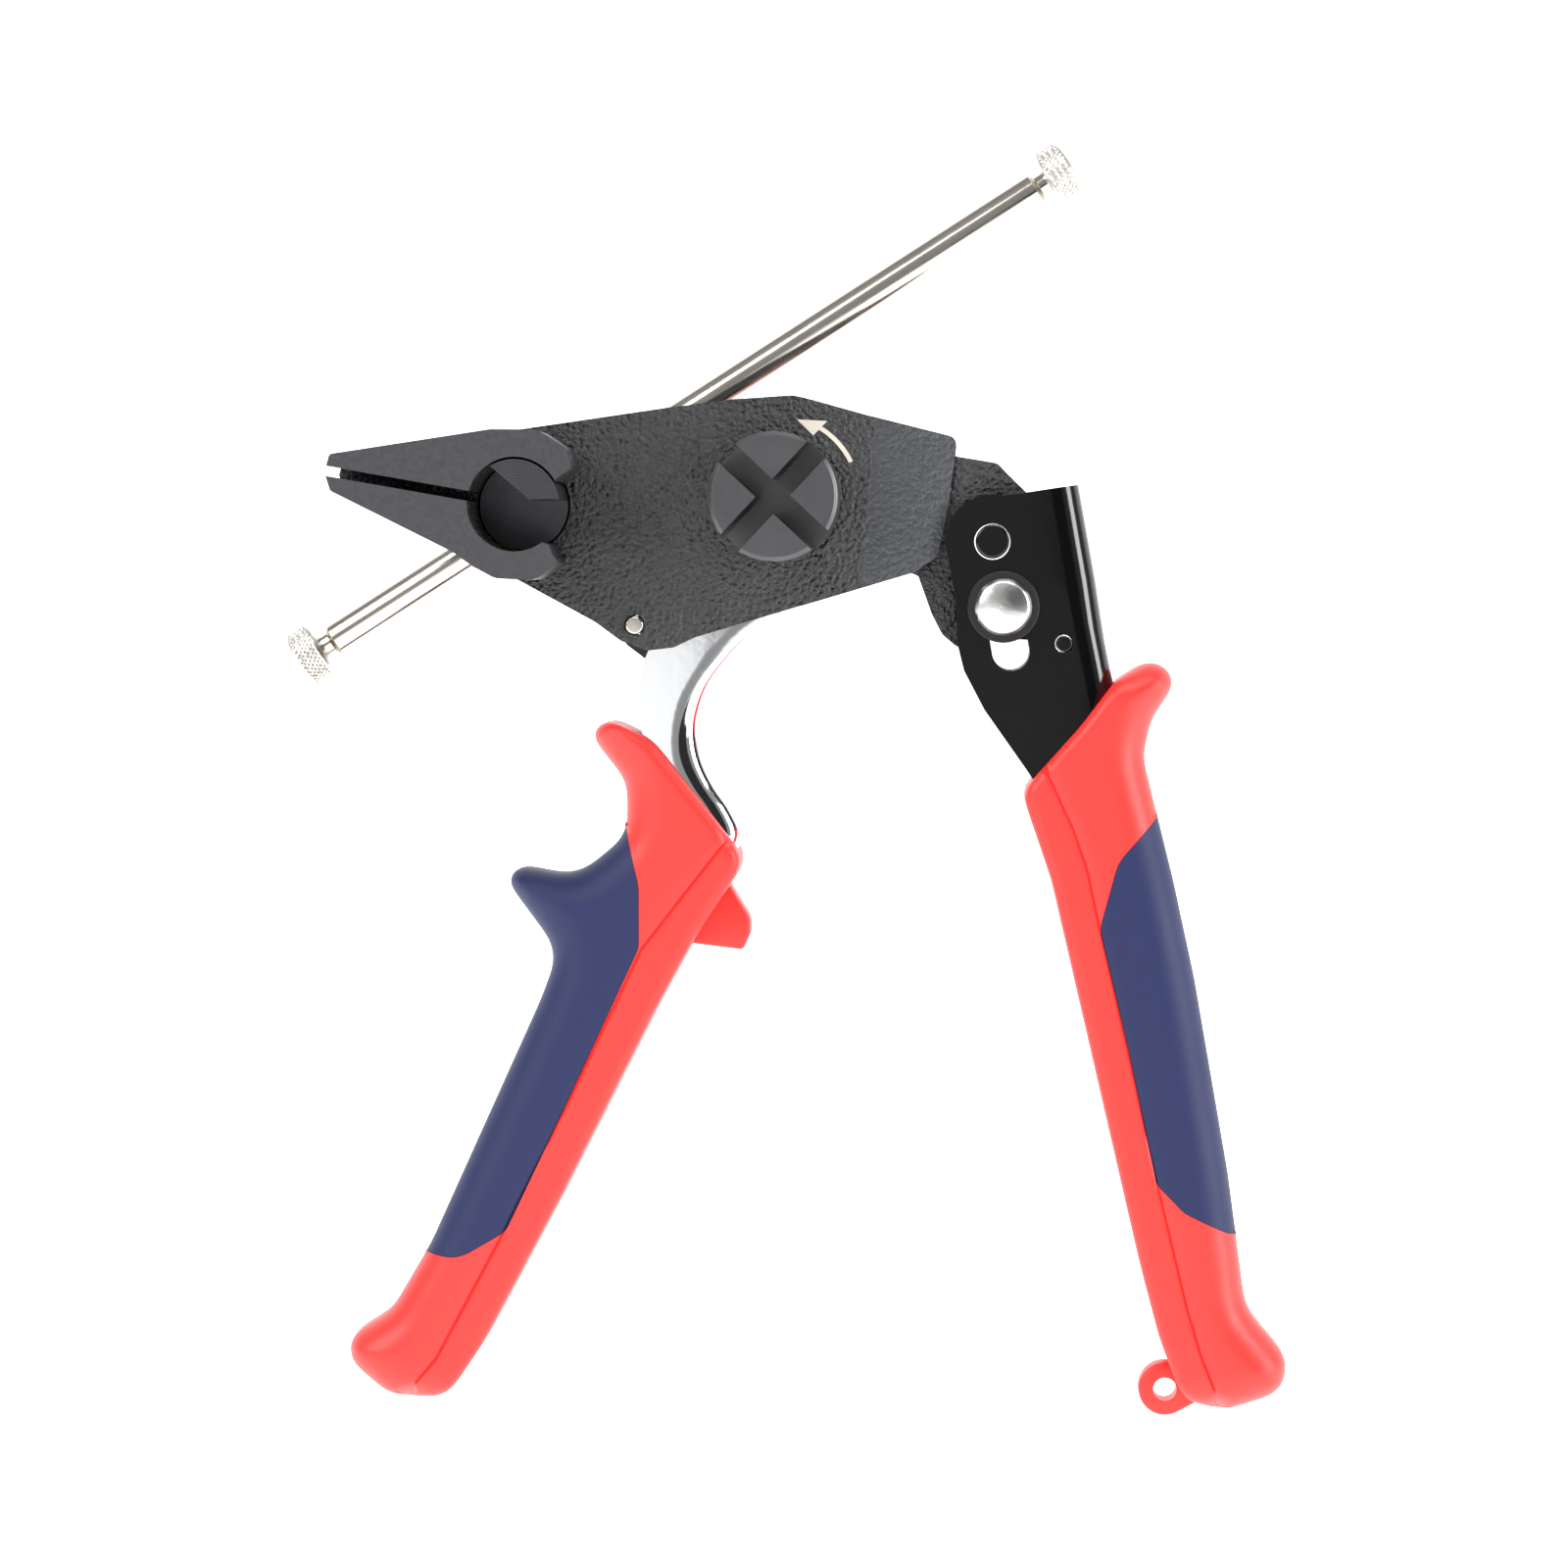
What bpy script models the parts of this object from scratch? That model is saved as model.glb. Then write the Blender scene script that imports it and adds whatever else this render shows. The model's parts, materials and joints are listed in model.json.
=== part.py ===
"""Hand tool that tensions and cuts steel banding strap.

Squeezing the two handles steps a slotted windlass round through a ratchet, and swinging
the sliding T-bar turns a half-moon cutter in the nose. The strap is fed in from the
front, through the nose slit, the cutter throat, the gap between the horns and one of the
windlass slots.

Frame: +X runs from the nose to the rear handle, +Z up, +Y from the strap side to the back.
Lengths below are millimetres, and the shape functions turn them into metres. They are
measured from the windlass axis (x, z) and from the housing's front face (y). The whole
tool hangs on an empty that puts the palm of the rear grip at the world origin.
"""

import bpy
import bmesh
from math import radians, degrees, sin, cos, atan2, pi
from mathutils import Matrix, Vector

MM = 0.001

# --- driving dimensions -------------------------------------------------------------
PALM = (96.0, 12.0, -125.0)       # where a hand carries the rear grip (x, y, z)

GAP = 0.3                         # between pieces that touch
RUN = 0.25                        # radial clearance of a shaft in its hole

HOUSING_BACK = 20.0               # housing runs from y = 0 to here
WALL = 4.0                        # front wall of the housing
COVER = 4.0                       # rear cover plate
FACET_RISE = 5.5                  # how far the right-hand facet falls back at its edge
FACET_RUN = 18.5
FACET_LEAN = 10.0                 # degrees, lean of the fold line

STRAP_DEPTH = 25.5                # depth of slit, throat and windlass slots
NOSE_FRONT = -26.0
NOSE_BACK = 14.0
SLIT = 2.2
SLIT_DROP = 10.0                  # degrees, slope of the slit down to the throat
THROAT_R = 10.4
THROAT = (-56.8, -1.7)            # axis of the cutter (x, z)

CUTTER_R = 9.9
CUTTER_STEM_R = 8.0
BUSH_WALL = 2.4
T_BAR_Y = 42.0
T_BAR_R = 4.0
T_BAR_ANGLE = 32.6                # degrees above +X
T_BAR_LOW = 63.5                  # cutter axis to the middle of the lower knob
T_BAR_HIGH = 143.0
KNOB_R = 6.9
KNOB_LENGTH = 6.7
STEM_END = 54.0

WINDLASS_R = 14.25
WINDLASS_SLOT = 5.5
FRONT_JOURNAL_R = 9.0
REAR_JOURNAL_R = 6.5
SQUARE = 12.4                     # across the flats of the drive square
TEETH = 36
WHEEL_R = 17.5
TOOTH = 2.0
WHEEL_FRONT = 8.0
WHEEL_BACK = 16.0
STEEP_FACE = 1.5                  # degrees, where one tooth's steep face stands

LEVER_FRONT = 5.0
LEVER_BACK = 19.0
LEVER_PLATE = 2.0
DRIVE_PIVOT = (22.4, -8.1)
HOLD_PIVOT = (-32.1, -28.5)
PAWL_PIN_R = 2.0
PAWL_FRONT = 9.0
PAWL_BACK = 15.0

HANDLE_FRONT = 3.2
HANDLE_BACK = 20.8
HANDLE_PLATE = 2.5
HANDLE_PIVOT = (48.2, -9.7)
HANDLE_PIN_R = 3.85
HANDLE_END_R = 10.6
HANDLE_SWING = 25.0               # degrees
LUG_FRONT = 6.0
LUG_BACK = 18.0
SLOT_PIN_R = 2.5
SLOT_PIN_REACH = 14.9             # handle pivot to slot pin, handle closed
SLOT_ANGLE = -80.5                # degrees, direction of the handle's slot from its pivot
SLOT_HALF = 4.2
SLOT_END = 25.1                   # handle pivot to the slot's outer arc
CAM_LEAD = 12.0                   # mm the slot pin moves out per radian of swing
RIVET = (64.3, -32.7)
RIVET_R = 1.8

GRIP_FRONT = -1.0
GRIP_BACK = 25.0
GRIP_ROUND = 2.4
EYE = (87.6, -201.7)
EYE_OUTER_R = 6.0
EYE_HOLE_R = 2.65
EYE_FRONT = 8.5
EYE_BACK = 15.5

SCREW_R = 2.0
SCREW_HEAD_R = 3.5
SCREW_HEAD = 2.6
COVER_SCREWS = [(-36.0, 12.5), (-44.5, -19.5), (33.8, 9.0), (33.0, -8.5)]

# --- outlines (x, z), a third number rounds that corner --------------------------------
HOUSING = [(-60.0, 15.1), (-60.0, -17.4), (-51.3, -22.1), (-40.9, -27.8), (-35.2, -32.0, 3),
           (-29.3, -34.2, 3), (-23.5, -33.5), (-18.9, -31.3, 4), (4.2, -24.5), (30.6, -16.6, 3),
           (35.9, -13.1, 2), (38.1, -2.7), (40.3, 13.6, 2), (19.8, 18.6), (8.1, 21.9, 6),
           (3.5, 23.0, 6), (-9.9, 22.1), (-24.9, 20.2)]
COVER_PLATE = [(-51.3, 16.4)] + HOUSING[2:]
NOSE = [(-98.5, 5.2), (-97.2, 1.2, 0.8), (-70.5, -12.1), (-65.6, -15.5, 5), (-61.0, -18.0, 5),
        (-52.0, -18.4, 5), (-47.0, -14.4, 1), (-48.4, -12.8), (-49.1, -10.6, 0.6), (-50.8, -10.0),
        (-47.6, 3.8), (-46.5, 4.6), (-44.0, 6.2, 1), (-45.4, 10.6, 2), (-51.5, 14.6, 5),
        (-62.0, 14.7, 8), (-77.0, 12.4), (-97.4, 9.3, 1)]
CAVITY = [(-38.0, -45.0), (-38.0, -27.0), (-33.5, -23.5), (-15.0, -10.5), (0.0, -10.0),
          (16.0, -7.0), (16.0, 5.0), (5.0, 19.5), (12.0, 18.3), (20.0, 16.2), (28.5, 13.6, 3),
          (29.5, -9.0, 4), (26.0, -15.0), (26.0, -45.0)]
LUG = [(34.0, 12.0), (28.0, -16.0), (31.5, -17.5), (34.5, -25.9), (36.9, -30.6, 2),
       (40.5, -33.7, 2), (48.0, -31.6), (56.5, -31.9), (60.0, -32.6, 2), (65.0, -27.6, 3),
       (62.0, -12.0, 6), (59.5, -2.0, 4), (54.8, 2.4, 2), (51.4, 5.7), (49.4, 7.9, 2),
       (40.2, 9.4)]

LEVER_RIGHT = [(4.7, -24.5), (-5.1, -31.2), (-10.6, -36.7), (-15.2, -42.2), (-17.3, -48.0),
               (-17.9, -53.3), (-16.8, -58.8), (-14.3, -64.3), (-10.1, -69.8), (-8.2, -75.4),
               (-9.8, -80.0), (-17.0, -89.0), (-30.0, -104.0), (-40.5, -125.0), (-56.5, -158.0)]
LEVER_LEFT = [(-65.5, -154.5), (-50.5, -124.0), (-40.0, -103.0), (-33.0, -88.0),
              (-29.5, -72.0), (-29.0, -60.0), (-31.0, -52.2), (-31.8, -47.7), (-31.4, -42.2),
              (-29.6, -34.5), (-23.0, -24.0)]
HANDLE_RIGHT = [(67.6, 3.1), (71.4, -17.9), (73.6, -32.0), (77.2, -50.0), (78.2, -66.0),
                (80.0, -86.0), (84.5, -112.0), (93.0, -152.0)]
HANDLE_LEFT = [(83.0, -154.5), (74.5, -114.0), (69.0, -89.0), (62.0, -70.0), (55.9, -61.0),
               (46.4, -47.5), (41.8, -38.7, 4), (40.5, -33.4, 4), (40.0, -23.2, 6)]

FRONT_GRIP = [(-43.1, -52.5, 4), (-38.6, -49.2, 3), (-28.7, -54.3, 4), (-14.2, -72.1),
              (-7.0, -81.5, 4), (-19.0, -99.5), (-27.0, -114.2), (-49.0, -157.9),
              (-66.6, -190.9), (-75.5, -204.1, 6), (-88.5, -204.1, 6), (-97.9, -196.0, 4),
              (-97.9, -190.5, 3), (-88.3, -184.4, 6), (-79.2, -168.9), (-54.3, -113.8),
              (-50.2, -103.0, 5), (-61.9, -86.4, 3), (-59.4, -83.0, 3), (-47.0, -85.0, 8),
              (-34.4, -75.0, 6), (-35.4, -64.0, 6)]
FRONT_INSERT = [(-34.8, -73.0), (-31.2, -87.0, 8), (-31.2, -101.0, 3), (-47.0, -135.0),
                (-61.4, -165.3, 4), (-72.2, -171.5, 8), (-95.0, -169.0), (-80.0, -72.0)]
STOP_TAB = [(-13.0, -84.0), (-6.4, -94.8), (-6.4, -98.2, 1.5), (-8.0, -102.0, 1.5),
            (-24.0, -100.0)]
REAR_GRIP = [(54.7, -66.0, 3), (68.0, -51.2), (75.5, -41.3, 5), (84.1, -35.2, 5),
             (90.6, -40.0, 4), (84.0, -50.0, 4), (82.2, -58.0, 4), (89.2, -86.2),
             (94.0, -108.3), (101.7, -152.4), (105.8, -183.0, 8), (115.5, -194.5, 4),
             (114.5, -202.0, 4), (101.0, -206.6, 6), (91.5, -203.5, 6), (86.0, -189.0),
             (82.1, -174.4), (69.3, -119.3), (61.6, -86.2), (57.9, -75.2)]
REAR_INSERT = [(86.5, -70.5), (76.5, -81.5, 6), (72.4, -96.5, 4), (79.0, -124.4),
               (85.3, -154.0, 1.5), (91.5, -160.4, 4), (102.0, -165.6, 3), (125.0, -166.0),
               (112.0, -70.0)]
DRIVE_PAWL = [(17.6, 6.4), (15.35, 5.55), (17.9, 3.3), (18.6, -6.0, 2), (20.0, -11.5, 3),
              (25.0, -11.5, 3), (26.4, -8.0, 3), (25.4, -2.0, 4), (20.6, 4.4)]
HOLD_PAWL = [(-2.5, -17.7), (-14.0, -20.3), (-33.0, -23.9, 3), (-37.0, -28.5, 3),
             (-34.5, -33.0, 2), (-28.5, -37.5, 1), (-19.5, -37.8, 1), (-20.5, -31.5, 2),
             (-17.0, -27.0, 2), (-3.8, -21.8, 1)]


# --- scene and shape functions ---------------------------------------------------------
for old in list(bpy.data.objects):
    bpy.data.objects.remove(old)


def collection(name):
    made = bpy.data.collections.new(name)
    bpy.context.scene.collection.children.link(made)
    return made


TOOL = collection("strapping_tensioner")
CUTTERS = collection("cutters")


def material(name, hex_colour, metallic, roughness):
    """A Principled surface from a display colour."""
    made = bpy.data.materials.new(name)
    made.use_nodes = True
    shader = made.node_tree.nodes["Principled BSDF"]
    shades = [int(hex_colour[i:i + 2], 16) / 255 for i in (0, 2, 4)]
    linear = [s / 12.92 if s < 0.04045 else ((s + 0.055) / 1.055) ** 2.4 for s in shades]
    shader.inputs["Base Color"].default_value = (*linear, 1)
    shader.inputs["Metallic"].default_value = metallic
    shader.inputs["Roughness"].default_value = roughness
    return made


PAINT = material("black_casting", "3A3A3E", 0.1, 0.5)
ENAMEL = material("black_enamel", "161618", 0.0, 0.2)
STEEL = material("machined_steel", "6A6A6A", 1.0, 0.35)
BRIGHT = material("bright_steel", "B8B8B4", 1.0, 0.2)
CHROME = material("chrome", "D0D0D2", 1.0, 0.08)
BRONZE = material("bush_bronze", "9A7440", 1.0, 0.4)
SPRING = material("spring_steel", "50504E", 1.0, 0.4)
RED = material("red_grip", "FF5550", 0.0, 0.45)
BLUE = material("blue_insert", "3A4474", 0.0, 0.5)


def arc(centre, radius, start, end, steps):
    """Points on an arc about (x, z), from one angle in degrees to another."""
    angles = [radians(start + (end - start) * i / steps) for i in range(steps + 1)]
    return [(centre[0] + radius * cos(a), centre[1] + radius * sin(a)) for a in angles]


def polar(centre, radius, angle):
    return (centre[0] + radius * cos(radians(angle)), centre[1] + radius * sin(radians(angle)))


def rounded(points, steps=3):
    """An outline with each (x, z, radius) corner turned into an arc."""
    out = []
    for i, point in enumerate(points):
        if len(point) == 2:
            out.append(point)
            continue
        here = Vector(point[:2])
        back = Vector(points[i - 1][:2]) - here
        ahead = Vector(points[(i + 1) % len(points)][:2]) - here
        half = back.angle(ahead) / 2
        reach = min(point[2] * cos(half) / sin(half), 0.48 * back.length, 0.48 * ahead.length)
        radius = reach * sin(half) / cos(half)
        middle = here + (back.normalized() + ahead.normalized()).normalized() * radius / sin(half)
        first = here + back.normalized() * reach - middle
        turn = first.angle_signed(here + ahead.normalized() * reach - middle)
        for k in range(steps + 1):
            spot = middle + Matrix.Rotation(-turn * k / steps, 2) @ first
            out.append((spot.x, spot.y))
    return out


def add(name, mesh, surface, group=TOOL):
    """A new object for a mesh, in the tool's collection or among the cutters."""
    made = bpy.data.objects.new(name, mesh)
    group.objects.link(made)
    if surface:
        mesh.materials.append(surface)
    if group is CUTTERS:
        made.hide_render = True
        made.display_type = "WIRE"
    return made


def plate(name, points, front, back, surface=None, group=TOOL):
    """A flat outline in x and z that fills the depth from front to back."""
    curve = bpy.data.curves.new(name, "CURVE")
    curve.dimensions = "2D"
    curve.fill_mode = "BOTH"
    curve.extrude = (back - front) / 2 * MM
    outline = rounded(points)
    spline = curve.splines.new("POLY")
    spline.points.add(len(outline) - 1)
    for spot, (x, z) in zip(spline.points, outline):
        spot.co = (x * MM, z * MM, 0, 1)
    spline.use_cyclic_u = True
    flat = bpy.data.objects.new(name, curve)
    mesh = bpy.data.meshes.new_from_object(flat)
    bpy.data.objects.remove(flat)
    bpy.data.curves.remove(curve)
    work = bmesh.new()
    work.from_mesh(mesh)
    bmesh.ops.remove_doubles(work, verts=work.verts, dist=1e-6)
    bmesh.ops.dissolve_limit(work, angle_limit=radians(0.5), verts=work.verts, edges=work.edges)
    stand = Matrix.Translation((0, (front + back) / 2 * MM, 0)) @ Matrix.Rotation(pi / 2, 4, "X")
    bmesh.ops.transform(work, matrix=stand, verts=work.verts)
    bmesh.ops.recalc_face_normals(work, faces=work.faces)
    work.to_mesh(mesh)
    work.free()
    return add(name, mesh, surface, group)


def turned(name, profile, centre, surface=None, group=TOOL, ring=False, steps=32):
    """A turned piece about a front-to-back axis. Its (radius, y) profile runs front to back."""
    mesh = bpy.data.meshes.new(name)
    spots = [(r * MM, 0, -y * MM) for r, y in profile]
    edges = [(i, i + 1) for i in range(len(spots) - 1)]
    if ring:
        edges.append((len(spots) - 1, 0))
    mesh.from_pydata(spots, edges, [])
    made = add(name, mesh, surface, group)
    made.location = (centre[0] * MM, 0, centre[1] * MM)
    made.rotation_euler = (pi / 2, 0, 0)
    spin = made.modifiers.new("spin", "SCREW")
    spin.steps = spin.render_steps = steps
    spin.use_merge_vertices = True
    spin.merge_threshold = 1e-6
    return made


def disc(name, centre, radius, front, back, surface=None, group=TOOL, steps=24):
    return turned(name, [(0, front), (radius, front), (radius, back), (0, back)], centre,
                  surface, group, steps=steps)


def collar(name, centre, inner, outer, front, back, surface, steps=32):
    """A bush, washer or retaining ring."""
    loop = [(inner, front), (outer, front), (outer, back), (inner, back)]
    return turned(name, loop, centre, surface, ring=True, steps=steps)


def bar(name, start, end, radius, surface=None, group=TOOL, sides=24):
    """A round bar between two points (x, y, z)."""
    a, b = Vector(start) * MM, Vector(end) * MM
    work = bmesh.new()
    bmesh.ops.create_cone(work, cap_ends=True, segments=sides, radius1=radius * MM,
                          radius2=radius * MM, depth=(b - a).length)
    turn = (b - a).to_track_quat("Z", "Y").to_matrix().to_4x4()
    bmesh.ops.transform(work, matrix=Matrix.Translation((a + b) / 2) @ turn, verts=work.verts)
    mesh = bpy.data.meshes.new(name)
    work.to_mesh(mesh)
    work.free()
    return add(name, mesh, surface, group)


def wire(name, points, radius, surface=SPRING):
    """A bent wire through (x, y, z) points."""
    curve = bpy.data.curves.new(name, "CURVE")
    curve.dimensions = "3D"
    curve.bevel_depth = radius * MM
    curve.bevel_resolution = 1
    curve.use_fill_caps = True
    curve.materials.append(surface)
    spline = curve.splines.new("POLY")
    spline.points.add(len(points) - 1)
    for spot, place in zip(spline.points, points):
        spot.co = (*(Vector(place) * MM), 1)
    made = bpy.data.objects.new(name, curve)
    TOOL.objects.link(made)
    return made


def coil(centre, radius, front, back, turns, start, per_turn=12):
    """Points of a spring coil about a front-to-back axis, from a start angle in degrees."""
    count = round(abs(turns) * per_turn)
    out = []
    for i in range(count + 1):
        x, z = polar(centre, radius, start + 360 * turns * i / count)
        out.append((x, front + (back - front) * i / count, z))
    return out


def shape_with(target, tool, operation):
    """Cuts or joins with a piece that is then only a cutter."""
    step = target.modifiers.new(operation.lower(), "BOOLEAN")
    step.operation = operation
    step.solver = "EXACT"
    step.object = tool
    return target


def cut(target, *tools):
    for tool in tools:
        shape_with(target, tool, "DIFFERENCE")
    return target


def join(target, *tools):
    for tool in tools:
        shape_with(target, tool, "UNION")
    return target


def bevel(target, width, segments=1, angle=40):
    step = target.modifiers.new("edges", "BEVEL")
    step.width = width * MM
    step.segments = segments
    step.limit_method = "ANGLE"
    step.angle_limit = radians(angle)
    step.use_clamp_overlap = False
    return target


def hole(name, centre, radius, front, back, steps=24):
    return disc(name, centre, radius, front, back, None, CUTTERS, steps)


def joint_empty(name, place, parent=None):
    """An empty on a joint's axis, for the pieces of one moving body."""
    made = bpy.data.objects.new(name, None)
    TOOL.objects.link(made)
    at = Vector((place[0], 0, place[1])) * MM
    made.location = at
    if parent:
        made.parent = parent
        made.matrix_parent_inverse = Matrix.Translation(-Vector(parent["place"]))
    made["place"] = at
    return made


def carry(empty, *pieces):
    """Hangs pieces, and whatever cuts or joins them, on a body's empty where they are."""
    for piece in pieces:
        piece.parent = empty
        piece.matrix_parent_inverse = Matrix.Translation(-Vector(empty["place"]))
        carry(empty, *[step.object for step in piece.modifiers if step.type == "BOOLEAN"])


# --- bodies ------------------------------------------------------------------------------
ROOT = joint_empty("tool", (0, 0))
WINDLASS_BODY = joint_empty("windlass_body", (0, 0), ROOT)
LEVER_BODY = joint_empty("lever_body", (0, 0), ROOT)
DRIVE_BODY = joint_empty("drive_pawl_body", DRIVE_PIVOT, LEVER_BODY)
HOLD_BODY = joint_empty("hold_pawl_body", HOLD_PIVOT, ROOT)
CUTTER_BODY = joint_empty("cutter_body", THROAT, ROOT)
T_BAR_BODY = joint_empty("t_bar_body", THROAT, CUTTER_BODY)
HANDLE_BODY = joint_empty("handle_body", HANDLE_PIVOT, ROOT)
SLOT_PIN = polar(HANDLE_PIVOT, SLOT_PIN_REACH, SLOT_ANGLE)
PIN_BODY = joint_empty("slot_pin_body", SLOT_PIN, HANDLE_BODY)

COVER_FRONT = HOUSING_BACK + GAP
COVER_BACK = COVER_FRONT + COVER
BUSH_R = CUTTER_R + RUN + BUSH_WALL
FRONT_BUSH_R = FRONT_JOURNAL_R + RUN + BUSH_WALL
REAR_BUSH_R = REAR_JOURNAL_R + RUN + BUSH_WALL
PAST = 5.0                        # how far a cutter runs past the face it opens


# --- housing -----------------------------------------------------------------------------
def slit_cutter():
    """The strap's way in, from the nose tip to the throat, sloping down."""
    slope = radians(-SLIT_DROP)
    along, across = Vector((cos(slope), sin(slope))), Vector((-sin(slope), cos(slope)))
    start = Vector(THROAT) - along * 60
    corners = [start + across * SLIT / 2, start - across * SLIT / 2,
               Vector(THROAT) - across * SLIT / 2, Vector(THROAT) + across * SLIT / 2]
    return plate("slit_cut", [tuple(c) for c in corners], NOSE_FRONT - PAST,
                 NOSE_FRONT + STRAP_DEPTH, None, CUTTERS)


def facet_cutter():
    """A block whose back face leans away to the right of the fold line."""
    work = bmesh.new()
    bmesh.ops.create_cube(work, size=60 * MM)
    shift = Matrix.Translation(Vector((30, -30, 0)) * MM)
    lean = Matrix.Rotation(radians(FACET_LEAN), 4, "Y")
    fall = Matrix.Rotation(atan2(FACET_RISE, FACET_RUN), 4, "Z")
    place = Matrix.Translation(Vector((21.3, 0, -2.0)) * MM)
    bmesh.ops.transform(work, matrix=place @ lean @ fall @ shift, verts=work.verts)
    mesh = bpy.data.meshes.new("facet_cut")
    work.to_mesh(mesh)
    work.free()
    return add("facet_cut", mesh, None, CUTTERS)


def cam_slot():
    """The slot pin's spiral way through the tail lug, as the handle swings out."""
    reach = SLOT_PIN_R + RUN
    steps = 10
    track = []
    for i in range(steps + 1):
        swing = HANDLE_SWING * i / steps
        spot = polar(HANDLE_PIVOT, SLOT_PIN_REACH + CAM_LEAD * radians(swing), SLOT_ANGLE + swing)
        track.append(Vector(spot))
    heading = [(track[min(i + 1, steps)] - track[max(i - 1, 0)]).normalized()
               for i in range(steps + 1)]
    side = [Vector((-h.y, h.x)) * reach for h in heading]
    first = degrees(atan2(-side[0].y, -side[0].x))
    last = degrees(atan2(side[-1].y, side[-1].x))
    outline = [tuple(t + s) for t, s in zip(track, side)]
    outline += arc(tuple(track[-1]), reach, last, last - 180, 8)[1:-1]
    outline += [tuple(t - s) for t, s in zip(reversed(track), reversed(side))]
    outline += arc(tuple(track[0]), reach, first, first - 180, 8)[1:-1]
    return plate("cam_cut", outline, LUG_FRONT - 1, LUG_BACK + 1, None, CUTTERS)


housing = plate("housing", HOUSING, 0, HOUSING_BACK, PAINT)
join(housing,
     plate("nose_blank", NOSE, NOSE_FRONT, NOSE_BACK, None, CUTTERS),
     plate("lug_blank", LUG, LUG_FRONT, LUG_BACK, None, CUTTERS))
cut(housing,
    facet_cutter(),
    slit_cutter(),
    turned("throat_cut", [(0, NOSE_FRONT - PAST), (THROAT_R, NOSE_FRONT - PAST), (THROAT_R, WALL),
                          (BUSH_R + GAP, WALL), (BUSH_R + GAP, HOUSING_BACK + PAST),
                          (0, HOUSING_BACK + PAST)], THROAT, None, CUTTERS, steps=36),
    plate("cavity_cut", CAVITY, WALL, HOUSING_BACK + PAST, None, CUTTERS),
    hole("wheel_cut", (0, 0), WHEEL_R + 2, WALL, HOUSING_BACK + PAST, 48),
    hole("front_bush_seat", (0, 0), FRONT_BUSH_R + GAP, -PAST, WALL + 1, 36),
    hole("hold_pin_seat", HOLD_PIVOT, PAWL_PIN_R + GAP, -PAST, WALL + 1),
    hole("handle_pin_seat", HANDLE_PIVOT, HANDLE_PIN_R + GAP, LUG_FRONT - 1, LUG_BACK + 1),
    cam_slot())
for number, spot in enumerate(COVER_SCREWS, 1):
    cut(housing, hole(f"screw_seat_{number}", spot, SCREW_R + GAP, WALL + 2, HOUSING_BACK + PAST, 16))

rear_cover = plate("rear_cover", COVER_PLATE, COVER_FRONT, COVER_BACK, PAINT)
cut(rear_cover,
    hole("cover_cutter_hole", THROAT, BUSH_R + GAP, COVER_FRONT - 1, COVER_BACK + 1, 36),
    hole("cover_windlass_hole", (0, 0), REAR_BUSH_R + GAP, COVER_FRONT - 1, COVER_BACK + 1, 36),
    hole("cover_pin_hole", HOLD_PIVOT, PAWL_PIN_R + GAP, COVER_FRONT - 1, COVER_BACK + 1))
for number, spot in enumerate(COVER_SCREWS, 1):
    cut(rear_cover, hole(f"cover_hole_{number}", spot, SCREW_R + GAP, COVER_FRONT - 1, COVER_BACK + 1, 16))

screws = []
for number, spot in enumerate(COVER_SCREWS, 1):
    head = COVER_BACK + GAP
    screw = turned(f"cover_screw_{number}",
                   [(0, WALL + 3), (SCREW_R, WALL + 3), (SCREW_R, head), (SCREW_HEAD_R, head),
                    (SCREW_HEAD_R, head + SCREW_HEAD), (0, head + SCREW_HEAD)],
                   spot, STEEL, steps=16)
    socket = hole(f"socket_{number}", spot, 1.4, head + 1.2, head + PAST, 6)
    screws.append(cut(screw, socket))

cutter_bush = collar("cutter_bush", THROAT, CUTTER_R + RUN, BUSH_R, WALL + GAP, COVER_BACK, BRONZE, 36)
front_bush = collar("front_windlass_bush", (0, 0), FRONT_JOURNAL_R + RUN, FRONT_BUSH_R, 0, WALL,
                    BRONZE, 36)
rear_bush = collar("rear_windlass_bush", (0, 0), REAR_JOURNAL_R + RUN, REAR_BUSH_R, COVER_FRONT,
                   COVER_BACK, BRONZE, 36)
hold_pin = disc("hold_pawl_pin", HOLD_PIVOT, PAWL_PIN_R, -0.6, COVER_BACK + 0.6, BRIGHT)
handle_pin = turned("handle_pivot_pin",
                    [(0, HANDLE_FRONT - 0.2), (HANDLE_PIN_R, HANDLE_FRONT - 0.2),
                     (HANDLE_PIN_R, HANDLE_BACK + 0.2), (0, HANDLE_BACK + 0.2)],
                    HANDLE_PIVOT, ENAMEL)
return_spring = wire("lever_return_spring",
                     coil((0, 0), 11.5, LEVER_BACK + 0.55, LEVER_BACK + 0.55, 0.82, -60, 28),
                     0.35)
hold_spring = wire("hold_pawl_spring",
                   coil(HOLD_PIVOT, PAWL_PIN_R + 0.9, WALL + 0.7, PAWL_FRONT - 0.6, 3, 30), 0.35)
carry(ROOT, housing, rear_cover, *screws, cutter_bush, front_bush, rear_bush, hold_pin,
      handle_pin, return_spring, hold_spring)


# --- windlass ------------------------------------------------------------------------------
def ratchet_outline():
    """Saw teeth: each steep face faces clockwise, each ramp falls away anticlockwise."""
    pitch = 360 / TEETH
    out = []
    for tooth in range(TEETH):
        face = STEEP_FACE + tooth * pitch
        out.append(polar((0, 0), WHEEL_R - TOOTH, face))
        out.append(polar((0, 0), WHEEL_R, face + 0.4))
    return out


def square_outline(across):
    half = across / 2
    return [(-half, -half), (half, -half), (half, half), (-half, half)]


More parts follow.
